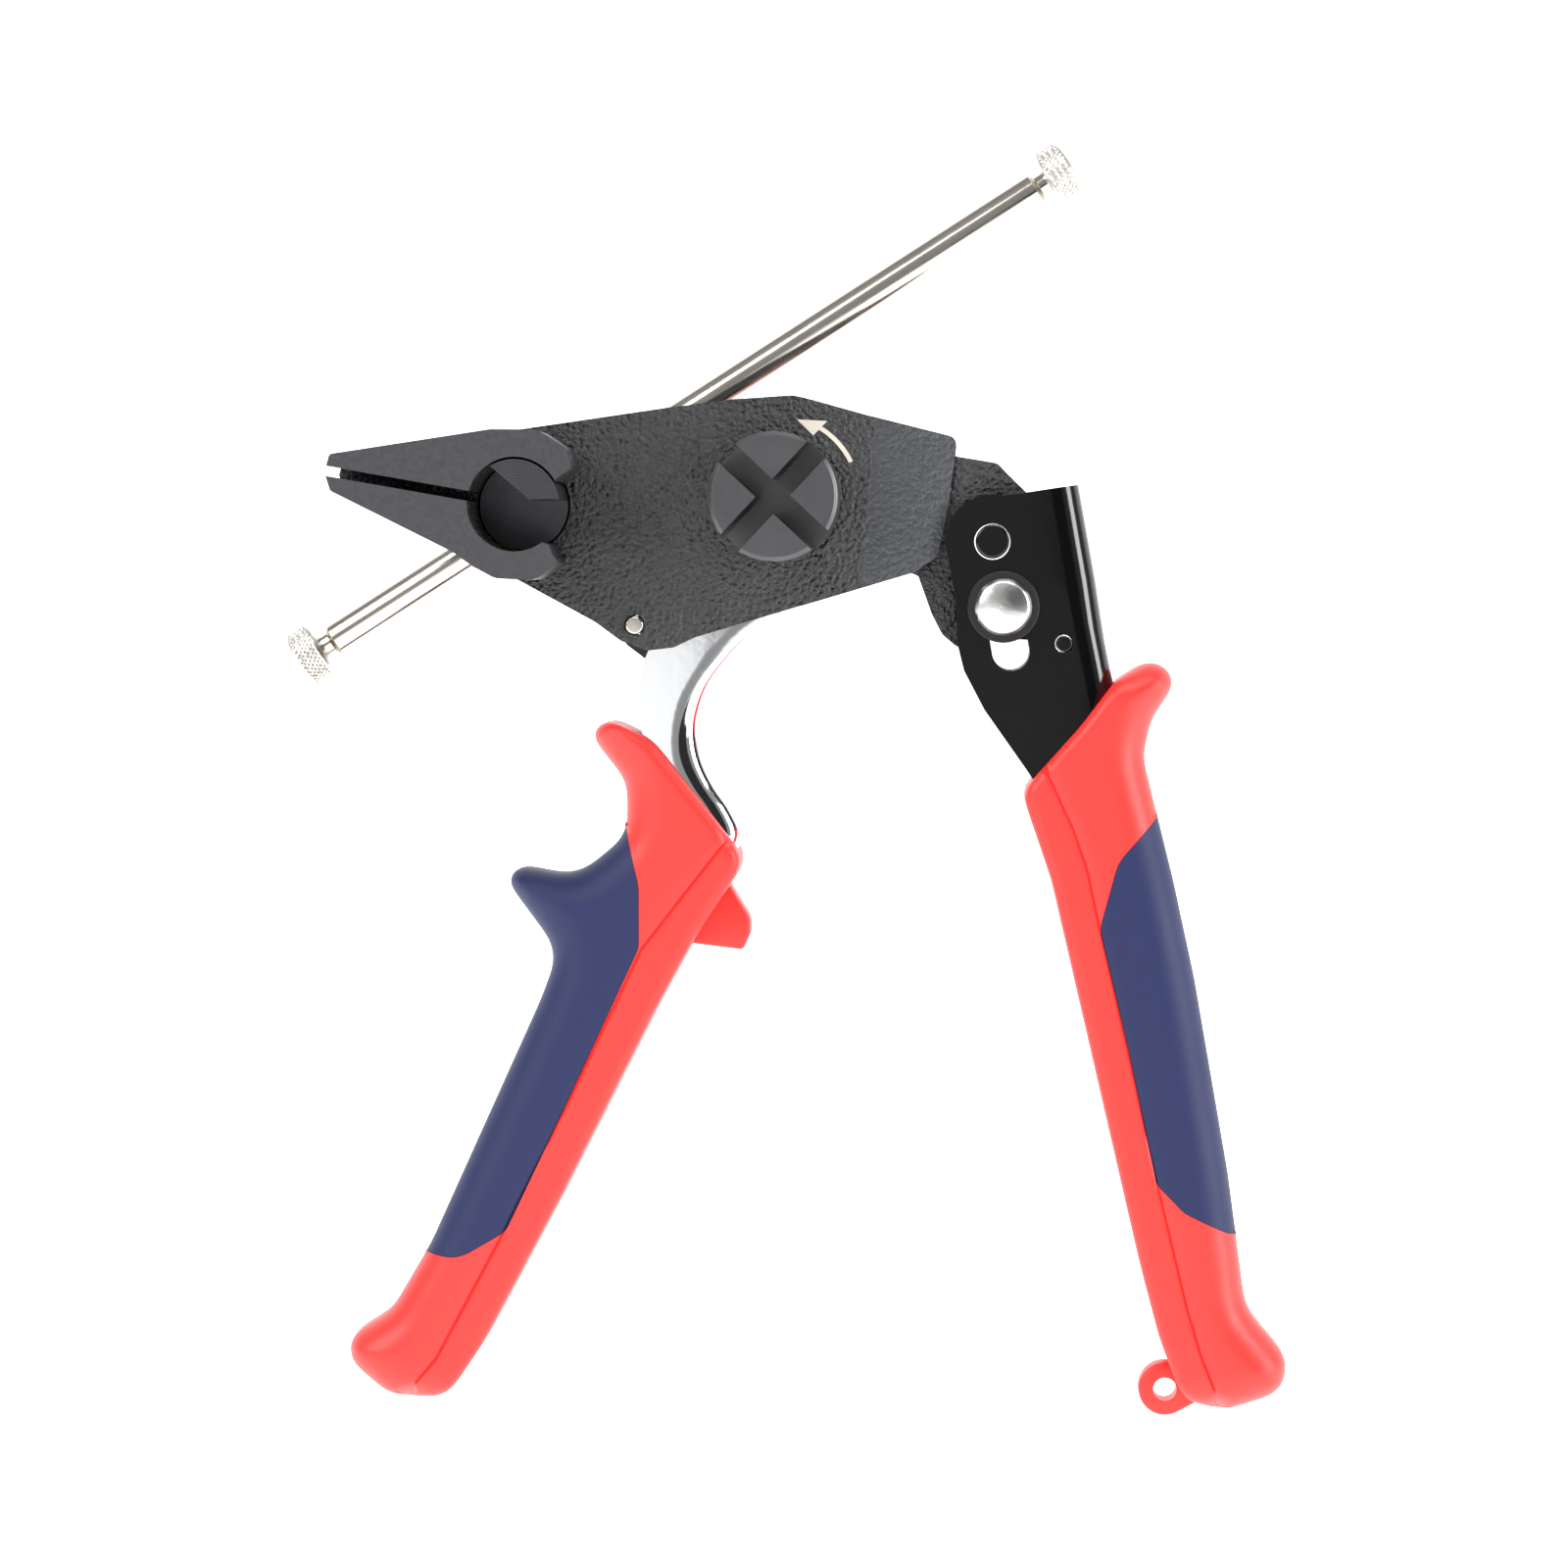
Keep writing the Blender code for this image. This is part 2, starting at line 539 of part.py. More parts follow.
def groove_cutter(number, angle):
    """One of the two strap slots across the windlass, both from its open front end."""
    length = WINDLASS_R + 2
    corners = [polar((0, 0), length, angle + side * degrees(atan2(WINDLASS_SLOT / 2, length)))
               for side in (-1, 1)]
    corners += [(-x, -z) for x, z in corners]
    return plate(f"strap_slot_{number}", corners, NOSE_FRONT - PAST, NOSE_FRONT + STRAP_DEPTH,
                 None, CUTTERS)


JOURNAL_END = WHEEL_FRONT - GAP
spindle_front = turned("windlass",
                       [(0, NOSE_FRONT), (WINDLASS_R - 0.8, NOSE_FRONT),
                        (WINDLASS_R, NOSE_FRONT + 0.8), (WINDLASS_R, -GAP),
                        (FRONT_JOURNAL_R, -GAP), (FRONT_JOURNAL_R, JOURNAL_END),
                        (REAR_JOURNAL_R, JOURNAL_END), (REAR_JOURNAL_R, COVER_BACK + 0.8),
                        (REAR_JOURNAL_R - 0.7, COVER_BACK + 0.8),
                        (REAR_JOURNAL_R - 0.7, COVER_BACK + 2.6),
                        (REAR_JOURNAL_R, COVER_BACK + 2.6), (REAR_JOURNAL_R, COVER_BACK + 4),
                        (0, COVER_BACK + 4)],
                       (0, 0), STEEL, steps=36)
join(spindle_front, plate("drive_square", square_outline(SQUARE), WHEEL_FRONT - 1, WHEEL_BACK,
                          None, CUTTERS))
cut(spindle_front, groove_cutter(1, 47), groove_cutter(2, -43))
wheel = plate("ratchet_wheel", ratchet_outline(), WHEEL_FRONT, WHEEL_BACK, STEEL)
cut(wheel, plate("square_cut", square_outline(SQUARE + 2 * GAP), WHEEL_FRONT - 1, WHEEL_BACK + 1,
                 None, CUTTERS))
windlass_ring = collar("windlass_retaining_ring", (0, 0), REAR_JOURNAL_R - 0.4, REAR_JOURNAL_R + 2,
                       COVER_BACK + 1.1, COVER_BACK + 2.3, SPRING)
carry(WINDLASS_BODY, spindle_front, wheel, windlass_ring)


# --- front lever ---------------------------------------------------------------------------
def shifted(points, dx):
    return [(p[0] + dx, p[1]) for p in points]


def lever_outline():
    """Hub round the windlass, shank down into the grip, and an ear for the drive pawl."""
    hub = arc((0, 0), 12.6, 12, 215, 16)
    ear = arc(DRIVE_PIVOT, 4.6, -110, 65, 8)
    return hub + list(reversed(LEVER_LEFT)) + list(reversed(LEVER_RIGHT)) + ear


lever = plate("front_lever", lever_outline(), LEVER_FRONT, LEVER_BACK, CHROME)
inside = ([(45, -26), (45, 40), (-40, 40), (-100, -60), (-100, -175)]
          + list(reversed(shifted(LEVER_RIGHT[1:], -LEVER_PLATE))))
cut(lever,
    plate("lever_inside", inside, LEVER_FRONT + LEVER_PLATE, LEVER_BACK - LEVER_PLATE, None,
          CUTTERS),
    hole("lever_front_eye", (0, 0), FRONT_JOURNAL_R + RUN, LEVER_FRONT - 1,
         LEVER_FRONT + LEVER_PLATE + 1, 36),
    hole("lever_rear_eye", (0, 0), REAR_JOURNAL_R + RUN, LEVER_BACK - LEVER_PLATE - 1,
         LEVER_BACK + 1, 36),
    hole("drive_pin_seat", DRIVE_PIVOT, PAWL_PIN_R + GAP, LEVER_FRONT - 1, LEVER_BACK + 1))
drive_pin = disc("drive_pawl_pin", DRIVE_PIVOT, PAWL_PIN_R, LEVER_FRONT, LEVER_BACK, BRIGHT)


def grown(points, by):
    """An outline moved out by a small clearance, its corners kept."""
    spots = [Vector(p[:2]) for p in points]
    area = sum(a.x * b.y - b.x * a.y for a, b in zip(spots, spots[1:] + spots[:1]))
    out = []
    for i, here in enumerate(spots):
        before = (here - spots[i - 1]).normalized()
        after = (spots[(i + 1) % len(spots)] - here).normalized()
        normal = Vector((before.y + after.y, -before.x - after.x)).normalized()
        spread = max(0.4, normal.dot(Vector((before.y, -before.x))))
        spot = here + normal * (by / spread) * (1 if area > 0 else -1)
        out.append((spot.x, spot.y))
    return out


def grip_pieces(name, outline, insert, core, core_front, core_back, extra=()):
    """A rounded grip and the insert let into it, both moulded round a steel core."""
    core_cut = plate(f"{name}_core", core, core_front - GAP, core_back + GAP, None, CUTTERS)
    blanks = []
    for label, surface in (("grip", RED), ("insert", BLUE)):
        blank = plate(f"{name}_{label}", outline, GRIP_FRONT, GRIP_BACK, surface)
        bevel(blank, GRIP_ROUND, 2, 60)
        blanks.append(blank)
    grip, panel = blanks
    if extra:
        join(grip, *extra)
    cut(grip, plate(f"{name}_recess", grown(rounded(insert), GAP), GRIP_FRONT - PAST,
                    GRIP_BACK + PAST, None, CUTTERS), core_cut)
    shape_with(panel, plate(f"{name}_panel", insert, GRIP_FRONT - PAST, GRIP_BACK + PAST, None,
                            CUTTERS), "INTERSECT")
    cut(panel, core_cut)
    return grip, panel


front_core = grown(LEVER_LEFT + [(0, -24)] + LEVER_RIGHT, GAP)
front_grip, front_insert = grip_pieces(
    "front", FRONT_GRIP, FRONT_INSERT, front_core, LEVER_FRONT, LEVER_BACK,
    [plate("stop_tab", STOP_TAB, 7, 17, None, CUTTERS)])
drive_spring = wire("drive_pawl_spring",
                    coil(DRIVE_PIVOT, PAWL_PIN_R + 0.9, LEVER_FRONT + LEVER_PLATE + 0.5,
                         PAWL_FRONT - 0.5, 1.5, 30), 0.25)
carry(LEVER_BODY, lever, drive_pin, drive_spring, front_grip, front_insert)

drive_pawl = plate("drive_pawl", DRIVE_PAWL, PAWL_FRONT, PAWL_BACK, STEEL)
cut(drive_pawl, hole("drive_pawl_eye", DRIVE_PIVOT, PAWL_PIN_R + RUN, PAWL_FRONT - 1, PAWL_BACK + 1))
carry(DRIVE_BODY, drive_pawl)

hold_pawl = plate("hold_pawl", HOLD_PAWL, PAWL_FRONT, PAWL_BACK, STEEL)
cut(hold_pawl, hole("hold_pawl_eye", HOLD_PIVOT, PAWL_PIN_R + RUN, PAWL_FRONT - 1, PAWL_BACK + 1))
carry(HOLD_BODY, hold_pawl)


# --- cutter and T-bar ----------------------------------------------------------------------
def half_moon_cutter():
    """Clears the strap's way past the cutter, below its edge."""
    apex = (THROAT[0] + 3.3, THROAT[1] + 1.1)
    rim = polar(THROAT, 14, 127.6)
    low = THROAT[1] - 14
    corners = [rim, (THROAT[0] - 14, rim[1]), (THROAT[0] - 14, low), (THROAT[0] + 14, low),
               (THROAT[0] + 14, apex[1]), apex]
    return plate("half_moon_cut", corners, NOSE_FRONT - PAST, NOSE_FRONT + STRAP_DEPTH - 0.5,
                 None, CUTTERS)


def along_bar(distance, out=0.0):
    """A point on the T-bar, measured from the cutter axis."""
    x, z = polar(THROAT, distance, T_BAR_ANGLE)
    return (x, T_BAR_Y + out, z)


RING_FRONT = COVER_BACK + 1.1
cutter = turned("cutter_shaft",
                [(0, NOSE_FRONT + 0.3), (CUTTER_R, NOSE_FRONT + 0.3), (CUTTER_R, RING_FRONT - GAP),
                 (CUTTER_R - 0.8, RING_FRONT - GAP), (CUTTER_R - 0.8, RING_FRONT + 1.5),
                 (CUTTER_R, RING_FRONT + 1.5), (CUTTER_R, RING_FRONT + 4),
                 (CUTTER_STEM_R, RING_FRONT + 6), (CUTTER_STEM_R, STEM_END - 0.8),
                 (CUTTER_STEM_R - 0.8, STEM_END), (0, STEM_END)],
                THROAT, STEEL, steps=36)
BALL_R = 1.6
BALL_Y = T_BAR_Y + T_BAR_R + BALL_R + 0.05
cut(cutter,
    half_moon_cutter(),
    bar("t_bar_bore", along_bar(-20), along_bar(20), T_BAR_R + RUN, None, CUTTERS, 32),
    hole("detent_bore", THROAT, BALL_R + GAP, T_BAR_Y, STEM_END + 1, 24))
cutter_ring = collar("cutter_retaining_ring", THROAT, CUTTER_R - 0.5, CUTTER_R + 2, RING_FRONT,
                     RING_FRONT + 1.2, SPRING)


def ball(name, centre, radius, surface):
    work = bmesh.new()
    bmesh.ops.create_uvsphere(work, u_segments=16, v_segments=10, radius=radius * MM)
    bmesh.ops.translate(work, vec=Vector(centre) * MM, verts=work.verts)
    mesh = bpy.data.meshes.new(name)
    work.to_mesh(mesh)
    work.free()
    return add(name, mesh, surface)


detent_ball = ball("detent_ball", (THROAT[0], BALL_Y, THROAT[1]), BALL_R, BRIGHT)
SPRING_FRONT = BALL_Y + BALL_R + 0.5
detent_spring = wire("detent_spring", coil(THROAT, 1.2, SPRING_FRONT, SPRING_FRONT + 1.8, 3, 0), 0.22)
detent_plug = disc("detent_plug", THROAT, BALL_R, SPRING_FRONT + 2.4, STEM_END, STEEL, steps=16)
carry(CUTTER_BODY, cutter, cutter_ring, detent_ball, detent_spring, detent_plug)

t_bar = bar("t_bar", along_bar(-T_BAR_LOW - KNOB_LENGTH / 2),
            along_bar(T_BAR_HIGH + KNOB_LENGTH / 2), T_BAR_R, BRIGHT)
knobs = []
for name, middle in (("lower_knob", -T_BAR_LOW), ("upper_knob", T_BAR_HIGH)):
    knob = bar(name, along_bar(middle - KNOB_LENGTH / 2), along_bar(middle + KNOB_LENGTH / 2),
               KNOB_R, BRIGHT, sides=32)
    bevel(knob, 1.0, 2)
    cut(knob, bar(f"{name}_bore", along_bar(middle - 8), along_bar(middle + 8), T_BAR_R + GAP, None,
                  CUTTERS))
    knobs.append(knob)
carry(T_BAR_BODY, t_bar, *knobs)


# --- rear handle ---------------------------------------------------------------------------
handle_outline = (arc(HANDLE_PIVOT, HANDLE_END_R, 200, 75, 12) + HANDLE_RIGHT
                  + HANDLE_LEFT)
handle = plate("rear_handle", handle_outline, HANDLE_FRONT, HANDLE_BACK, ENAMEL)
inside = ([(20, 60)] + [(64.0, 60)] + shifted(HANDLE_RIGHT, -HANDLE_PLATE) + [(70, -175), (20, -175)])
slot_start = polar(HANDLE_PIVOT, SLOT_PIN_REACH - 1.0, SLOT_ANGLE)
slot_end = polar(HANDLE_PIVOT, SLOT_END, SLOT_ANGLE)
slot_outline = (arc(slot_start, SLOT_HALF, SLOT_ANGLE + 90, SLOT_ANGLE + 270, 12)
                + arc(slot_end, SLOT_HALF, SLOT_ANGLE - 90, SLOT_ANGLE + 90, 12))
cut(handle,
    plate("handle_inside", inside, HANDLE_FRONT + HANDLE_PLATE, HANDLE_BACK - HANDLE_PLATE, None,
          CUTTERS),
    plate("handle_slot", slot_outline, HANDLE_FRONT - 1, HANDLE_BACK + 1, None, CUTTERS),
    hole("handle_pivot_eye", HANDLE_PIVOT, HANDLE_PIN_R + RUN, HANDLE_FRONT - 1, HANDLE_BACK + 1),
    hole("rivet_eye", RIVET, RIVET_R + GAP, HANDLE_FRONT - 1, HANDLE_BACK + 1, 24))
rivet = disc("cross_rivet", RIVET, RIVET_R, HANDLE_FRONT - 0.4, HANDLE_BACK + 0.4, STEEL, steps=24)
handle_spring = wire("handle_spring", coil(RIVET, 2.4, 7.0, 17.0, 6, 90), 0.4)
rear_core = grown(handle_outline[13:], GAP)
eye_tab = plate("eye_tab", arc(EYE, EYE_OUTER_R, 60, 300, 16) + [(98, -205), (98, -192)], EYE_FRONT,
                EYE_BACK, None, CUTTERS)
rear_grip, rear_insert = grip_pieces("rear", REAR_GRIP, REAR_INSERT, rear_core, HANDLE_FRONT,
                                     HANDLE_BACK, [eye_tab])
cut(rear_grip, hole("eye_cut", EYE, EYE_HOLE_R, EYE_FRONT - PAST, EYE_BACK + PAST, 24))
carry(HANDLE_BODY, handle, rivet, handle_spring, rear_grip, rear_insert)

PIN_HEAD_R = 6.4
WASHER_R = 8.1
FRONT_WASHER_BACK = HANDLE_FRONT - GAP
REAR_WASHER_FRONT = HANDLE_BACK + GAP
slot_pin = turned("slot_pin",
                  [(0, FRONT_WASHER_BACK - 4.0), (PIN_HEAD_R * 0.55, FRONT_WASHER_BACK - 3.7),
                   (PIN_HEAD_R * 0.9, FRONT_WASHER_BACK - 2.9), (PIN_HEAD_R, FRONT_WASHER_BACK - 1.8),
                   (PIN_HEAD_R, FRONT_WASHER_BACK - 1.4), (SLOT_PIN_R, FRONT_WASHER_BACK - 1.4),
                   (SLOT_PIN_R, REAR_WASHER_FRONT + 3.4), (0, REAR_WASHER_FRONT + 3.4)],
                  SLOT_PIN, CHROME, steps=32)
front_washer = collar("front_slot_washer", SLOT_PIN, SLOT_PIN_R + GAP, WASHER_R,
                      FRONT_WASHER_BACK - 1.1, FRONT_WASHER_BACK, STEEL)
rear_washer = collar("rear_slot_washer", SLOT_PIN, SLOT_PIN_R + GAP, WASHER_R, REAR_WASHER_FRONT,
                     REAR_WASHER_FRONT + 1.2, STEEL)
NUT_R = 5.0
NUT_BORE = (SLOT_PIN_R + GAP) / cos(pi / 6)
pin_nut = turned("slot_pin_nut",
                 [(NUT_BORE, REAR_WASHER_FRONT + 1.5), (NUT_R, REAR_WASHER_FRONT + 1.5),
                  (NUT_R, REAR_WASHER_FRONT + 4.0), (NUT_BORE, REAR_WASHER_FRONT + 4.0)],
                 SLOT_PIN, STEEL, ring=True, steps=6)
carry(PIN_BODY, slot_pin, front_washer, rear_washer, pin_nut)

ROOT.location = -Vector(PALM) * MM
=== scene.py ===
"""Looks of the strapping tensioner: a black cast head, a slotted windlass, a half-moon
cutter turned by a sliding T-bar, a chromed front lever and an enamelled rear handle,
both with two-colour moulded grips."""

import json
from math import cos, pi, radians, sin, sqrt

import bpy
import bmesh
from mathutils import Matrix, Vector
from mathutils.geometry import delaunay_2d_cdt, intersect_point_line
from mathutils.kdtree import KDTree


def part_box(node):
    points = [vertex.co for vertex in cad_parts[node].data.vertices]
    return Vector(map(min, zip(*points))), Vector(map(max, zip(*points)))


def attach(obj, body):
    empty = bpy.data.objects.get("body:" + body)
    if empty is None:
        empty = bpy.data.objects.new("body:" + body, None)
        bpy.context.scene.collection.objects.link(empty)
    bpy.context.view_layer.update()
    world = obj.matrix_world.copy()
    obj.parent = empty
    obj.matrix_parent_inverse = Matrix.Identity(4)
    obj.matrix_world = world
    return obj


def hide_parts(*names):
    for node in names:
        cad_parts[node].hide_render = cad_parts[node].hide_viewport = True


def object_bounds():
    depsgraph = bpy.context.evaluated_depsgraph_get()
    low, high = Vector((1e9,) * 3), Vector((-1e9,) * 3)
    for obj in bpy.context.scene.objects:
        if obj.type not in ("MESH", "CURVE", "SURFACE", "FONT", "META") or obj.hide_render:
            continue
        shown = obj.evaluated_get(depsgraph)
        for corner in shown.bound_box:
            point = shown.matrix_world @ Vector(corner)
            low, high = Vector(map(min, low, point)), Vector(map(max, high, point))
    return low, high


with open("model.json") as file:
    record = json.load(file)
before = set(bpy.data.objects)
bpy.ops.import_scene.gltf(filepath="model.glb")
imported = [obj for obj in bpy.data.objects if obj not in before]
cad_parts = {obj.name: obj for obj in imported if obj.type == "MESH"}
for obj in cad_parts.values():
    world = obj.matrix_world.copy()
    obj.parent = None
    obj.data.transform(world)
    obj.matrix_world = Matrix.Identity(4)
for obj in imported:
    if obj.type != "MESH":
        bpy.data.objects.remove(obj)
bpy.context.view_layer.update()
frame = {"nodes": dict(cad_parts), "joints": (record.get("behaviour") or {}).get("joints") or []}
cad = frame["nodes"]


# --- housing --------------------------------------------------------------------------
# A ductile iron casting: head, nose jaws and tail lug in one, with the slit, the throat
# and the pockets milled out of it. It is painted in black crinkle enamel, which runs
# smooth on the machined nose face.
MM = 0.001
windlass_low, windlass_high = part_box("windlass")
AXIS = (Vector(windlass_low) + Vector(windlass_high)) / 2
NOSE_FACE_Y = windlass_low[1]
FRONT_DEPTH = 26.0                      # nose face to housing face


def at(x, y, z):
    """A place in millimetres from the windlass axis and the housing's front face."""
    return Vector((AXIS.x + x * MM, NOSE_FACE_Y + (y + FRONT_DEPTH) * MM, AXIS.z + z * MM))


def linear(hex_colour):
    """A display colour as the linear one that shaders use."""
    shades = [int(hex_colour[i:i + 2], 16) / 255 for i in (0, 2, 4)]
    return (*[s / 12.92 if s < 0.04045 else ((s + 0.055) / 1.055) ** 2.4 for s in shades], 1)


def add_node(material, kind, values=None, links=None, **settings):
    """Adds a shader node with its settings, its values and what feeds it."""
    made = material.node_tree.nodes.new("ShaderNode" + kind)
    for name, value in settings.items():
        setattr(made, name, value)
    for socket, value in (values or {}).items():
        made.inputs[socket].default_value = value
    for socket, source in (links or {}).items():
        material.node_tree.links.new(source, made.inputs[socket])
    return made


def finish_of(name, colour, metallic, roughness, **sockets):
    """A Principled finish, and the shader that its pattern feeds."""
    material = bpy.data.materials.new(name)
    material.use_nodes = True
    shader = material.node_tree.nodes["Principled BSDF"]
    shader.inputs["Base Color"].default_value = linear(colour)
    shader.inputs["Metallic"].default_value = metallic
    shader.inputs["Roughness"].default_value = roughness
    for socket, value in sockets.items():
        shader.inputs[socket.replace("_", " ")].default_value = value
    return material, shader


def wire_up(material, source, shader, socket):
    material.node_tree.links.new(source, shader.inputs[socket])


def select_only(piece):
    bpy.ops.object.select_all(action="DESELECT")
    bpy.context.view_layer.objects.active = piece
    piece.select_set(True)


def piece_from(work, name, material=None):
    """A mesh under construction made into an object, which is then the only one selected."""
    mesh = bpy.data.meshes.new(name)
    work.to_mesh(mesh)
    work.free()
    if material:
        mesh.materials.append(material)
    piece = bpy.data.objects.new(name, mesh)
    bpy.context.scene.collection.objects.link(piece)
    select_only(piece)
    return piece


def worked_copy(node, name, material, edge=0.5, segments=2, folds=None):
    """A copy of a machined or cast solid with its edges broken by a small round.
    folds picks, by place and normal, the outer edges that get a wide bend instead."""
    piece = bpy.data.objects.new(name, cad[node].data.copy())
    bpy.context.scene.collection.objects.link(piece)
    select_only(piece)
    bpy.ops.object.mode_set(mode="EDIT")
    bpy.ops.mesh.select_all(action="SELECT")
    bpy.ops.mesh.remove_doubles(threshold=2e-6)
    bpy.ops.mesh.dissolve_limited(angle_limit=radians(1))
    bpy.ops.object.mode_set(mode="OBJECT")
    if folds:
        bend, is_fold = folds
        work = bmesh.new()
        work.from_mesh(piece.data)
        weight = work.edges.layers.float.new("bevel_weight_edge")
        for edge_line in work.edges:
            if len(edge_line.link_faces) == 2 and is_fold(edge_line):
                edge_line[weight] = 1
        work.to_mesh(piece.data)
        work.free()
        fold = piece.modifiers.new("fold", "BEVEL")
        fold.limit_method = "WEIGHT"
        fold.width = bend * MM
        fold.segments = 6
        fold.use_clamp_overlap = False
        bpy.ops.object.modifier_apply(modifier=fold.name)
    soften = piece.modifiers.new("edges", "BEVEL")
    soften.width = edge * MM
    soften.segments = segments
    soften.limit_method = "ANGLE"
    soften.angle_limit = radians(35)
    bpy.ops.object.modifier_apply(modifier=soften.name)
    bpy.ops.object.shade_smooth_by_angle(angle=radians(40))
    flats = piece.modifiers.new("flats", "WEIGHTED_NORMAL")
    flats.keep_sharp = True
    bpy.ops.object.modifier_apply(modifier=flats.name)
    piece.data.materials.clear()
    piece.data.materials.append(material)
    return piece


def place(piece, body, slot, *nodes):
    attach(piece, body)
    if nodes:
        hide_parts(*nodes)


# Crinkle enamel: cured so that its skin wrinkles about every millimetre, which breaks the
# shine into small glints.
crinkle, crinkle_shader = finish_of("black_crinkle_enamel", "202022", 0.0, 0.38, IOR=1.55)
where = add_node(crinkle, "TexCoord").outputs["Object"]
wrinkles = add_node(crinkle, "TexNoise", {"Scale": 900, "Detail": 3, "Roughness": 0.55},
                    {"Vector": where})
pits = add_node(crinkle, "TexVoronoi", {"Scale": 620, "Randomness": 1.0}, {"Vector": where})
pit_shape = add_node(crinkle, "MapRange", {"From Min": 0.05, "From Max": 0.45},
                     {"Value": pits.outputs["Distance"]})
relief = add_node(crinkle, "Math", None, {0: wrinkles.outputs["Fac"], 1: pit_shape.outputs[0]},
                  operation="MULTIPLY_ADD")
wire_up(crinkle, wrinkles.outputs["Fac"], relief, 2)
spot = add_node(crinkle, "SeparateXYZ", None, {0: where})


def behind_nose_face(least):
    """Rises from the least value on the machined nose face to 1 just behind it."""
    return add_node(crinkle, "MapRange",
                    {"From Min": NOSE_FACE_Y + 1.0 * MM, "From Max": NOSE_FACE_Y + 1.6 * MM,
                     "To Min": least, "To Max": 1.0}, {"Value": spot.outputs["Y"]})


worn = add_node(crinkle, "MapRange",
                {"From Min": 0.35, "From Max": 0.7, "To Min": 0.28, "To Max": 0.5},
                {"Value": wrinkles.outputs["Fac"]})
wire_up(crinkle, worn.outputs[0], crinkle_shader, "Roughness")
# Painted shade: the crinkle's pits are painted near black, as shade in its hollows.
pit_painted_shade = add_node(crinkle, "Mix", {"A": linear("060607"), "B": linear("202022")},
                    {"Factor": pit_shape.outputs[0]}, data_type="RGBA")
# The facet at the right was ground flat, so that the enamel lies thin and fine on it, with a calmer crinkle.
# Its lighter grey is painted light, as on a slope that faces the lamps on the right.
FACET_LEFT = 20.4                       # its left edge, level with the windlass axis
FACET_LEAN = 0.077                      # how far that edge leans for each unit of height
FACET_BACK = 5.8                        # its depth behind the housing's face
facet_x = add_node(crinkle, "Math", {1: AXIS.x + FACET_LEFT * MM}, {0: spot.outputs["X"]},
                   operation="SUBTRACT")
facet_lean = add_node(crinkle, "Math", {1: -FACET_LEAN}, {0: spot.outputs["Z"], 2: facet_x.outputs[0]},
                      operation="MULTIPLY_ADD")
facet_edge = add_node(crinkle, "Math", {1: FACET_LEAN * AXIS.z}, {0: facet_lean.outputs[0]},
                      operation="ADD")
on_facet = add_node(crinkle, "MapRange", {"From Min": -0.3 * MM, "From Max": 0.3 * MM},
                    {"Value": facet_edge.outputs[0]})
in_front = add_node(crinkle, "Math", {1: at(0, FACET_BACK, 0).y}, {0: spot.outputs["Y"]},
                    operation="LESS_THAN")
facet_mask = add_node(crinkle, "Math", None, {0: on_facet.outputs[0], 1: in_front.outputs[0]},
                      operation="MULTIPLY")
# Painted light: the facet is painted lighter grey, where it tilts towards the lamps.
facet_painted_light = add_node(crinkle, "Mix", {"B": linear("34363A")},
                      {"Factor": facet_mask.outputs[0], "A": pit_painted_shade.outputs["Result"]},
                      data_type="RGBA")
calm = add_node(crinkle, "MapRange", {"To Min": 1.0, "To Max": 0.35}, {"Value": facet_mask.outputs[0]})
strength = add_node(crinkle, "Math", None, {0: behind_nose_face(0.03).outputs[0], 1: calm.outputs[0]},
                    operation="MULTIPLY")
crinkle_bump = add_node(crinkle, "Bump", {"Distance": 0.0009},
                        {"Height": relief.outputs[0], "Strength": strength.outputs[0]})
wire_up(crinkle, crinkle_bump.outputs[0], crinkle_shader, "Normal")
skin = add_node(crinkle, "Mix", {"A": linear("303034")},
                {"Factor": behind_nose_face(0.0).outputs[0], "B": facet_painted_light.outputs["Result"]},
                data_type="RGBA")
wire_up(crinkle, skin.outputs["Result"], crinkle_shader, "Base Color")

housing = worked_copy("housing", "cast_housing", crinkle, 0.7, 3)
place(housing, "head", "casting", "housing")


def flat_plate(name, outline, front, back, material, edge=0.0):
    """A plate cut to an (x, z) outline, from one depth to another."""
    work = bmesh.new()
    face = work.faces.new([work.verts.new(at(x, front, z)) for x, z in outline])
    grown = bmesh.ops.extrude_face_region(work, geom=[face])
    moved = [g for g in grown["geom"] if isinstance(g, bmesh.types.BMVert)]
    bmesh.ops.translate(work, verts=moved, vec=(0, (back - front) * MM, 0))
    bmesh.ops.recalc_face_normals(work, faces=work.faces)
    piece = piece_from(work, name, material)
    if edge:
        soften = piece.modifiers.new("edges", "BEVEL")
        soften.width = edge * MM
        soften.segments = 3
        soften.limit_method = "ANGLE"
        bpy.ops.object.modifier_apply(modifier=soften.name)
        bpy.ops.object.shade_smooth_by_angle(angle=radians(40))
    return piece


def arc(radius, start, end, steps, centre=(0, 0)):
    angles = [radians(start + (end - start) * i / steps) for i in range(steps + 1)]
    return [(centre[0] + radius * cos(a), centre[1] + radius * sin(a)) for a in angles]


def polar(radius, degrees):
    return (radius * cos(radians(degrees)), radius * sin(radians(degrees)))


# Turning arrow: cream pad print on the casting, which shows the way the windlass winds.
print_ink, _ = finish_of("cream_pad_print", "CFC8BC", 0.0, 0.6)
ARROW_R = 18.4
shaft = arc(ARROW_R + 0.45, 26, 60, 14) + arc(ARROW_R - 0.55, 60, 26, 14)
head = [polar(ARROW_R + 2.1, 57), polar(ARROW_R - 0.3, 76), polar(ARROW_R - 2.3, 60)]
arrow_shaft = flat_plate("arrow_shaft", shaft, -0.12, -0.02, print_ink)
arrow_head = flat_plate("arrow_head", head, -0.13, -0.02, print_ink)
for mark in (arrow_shaft, arrow_head):
    place(mark, "head", "casting")


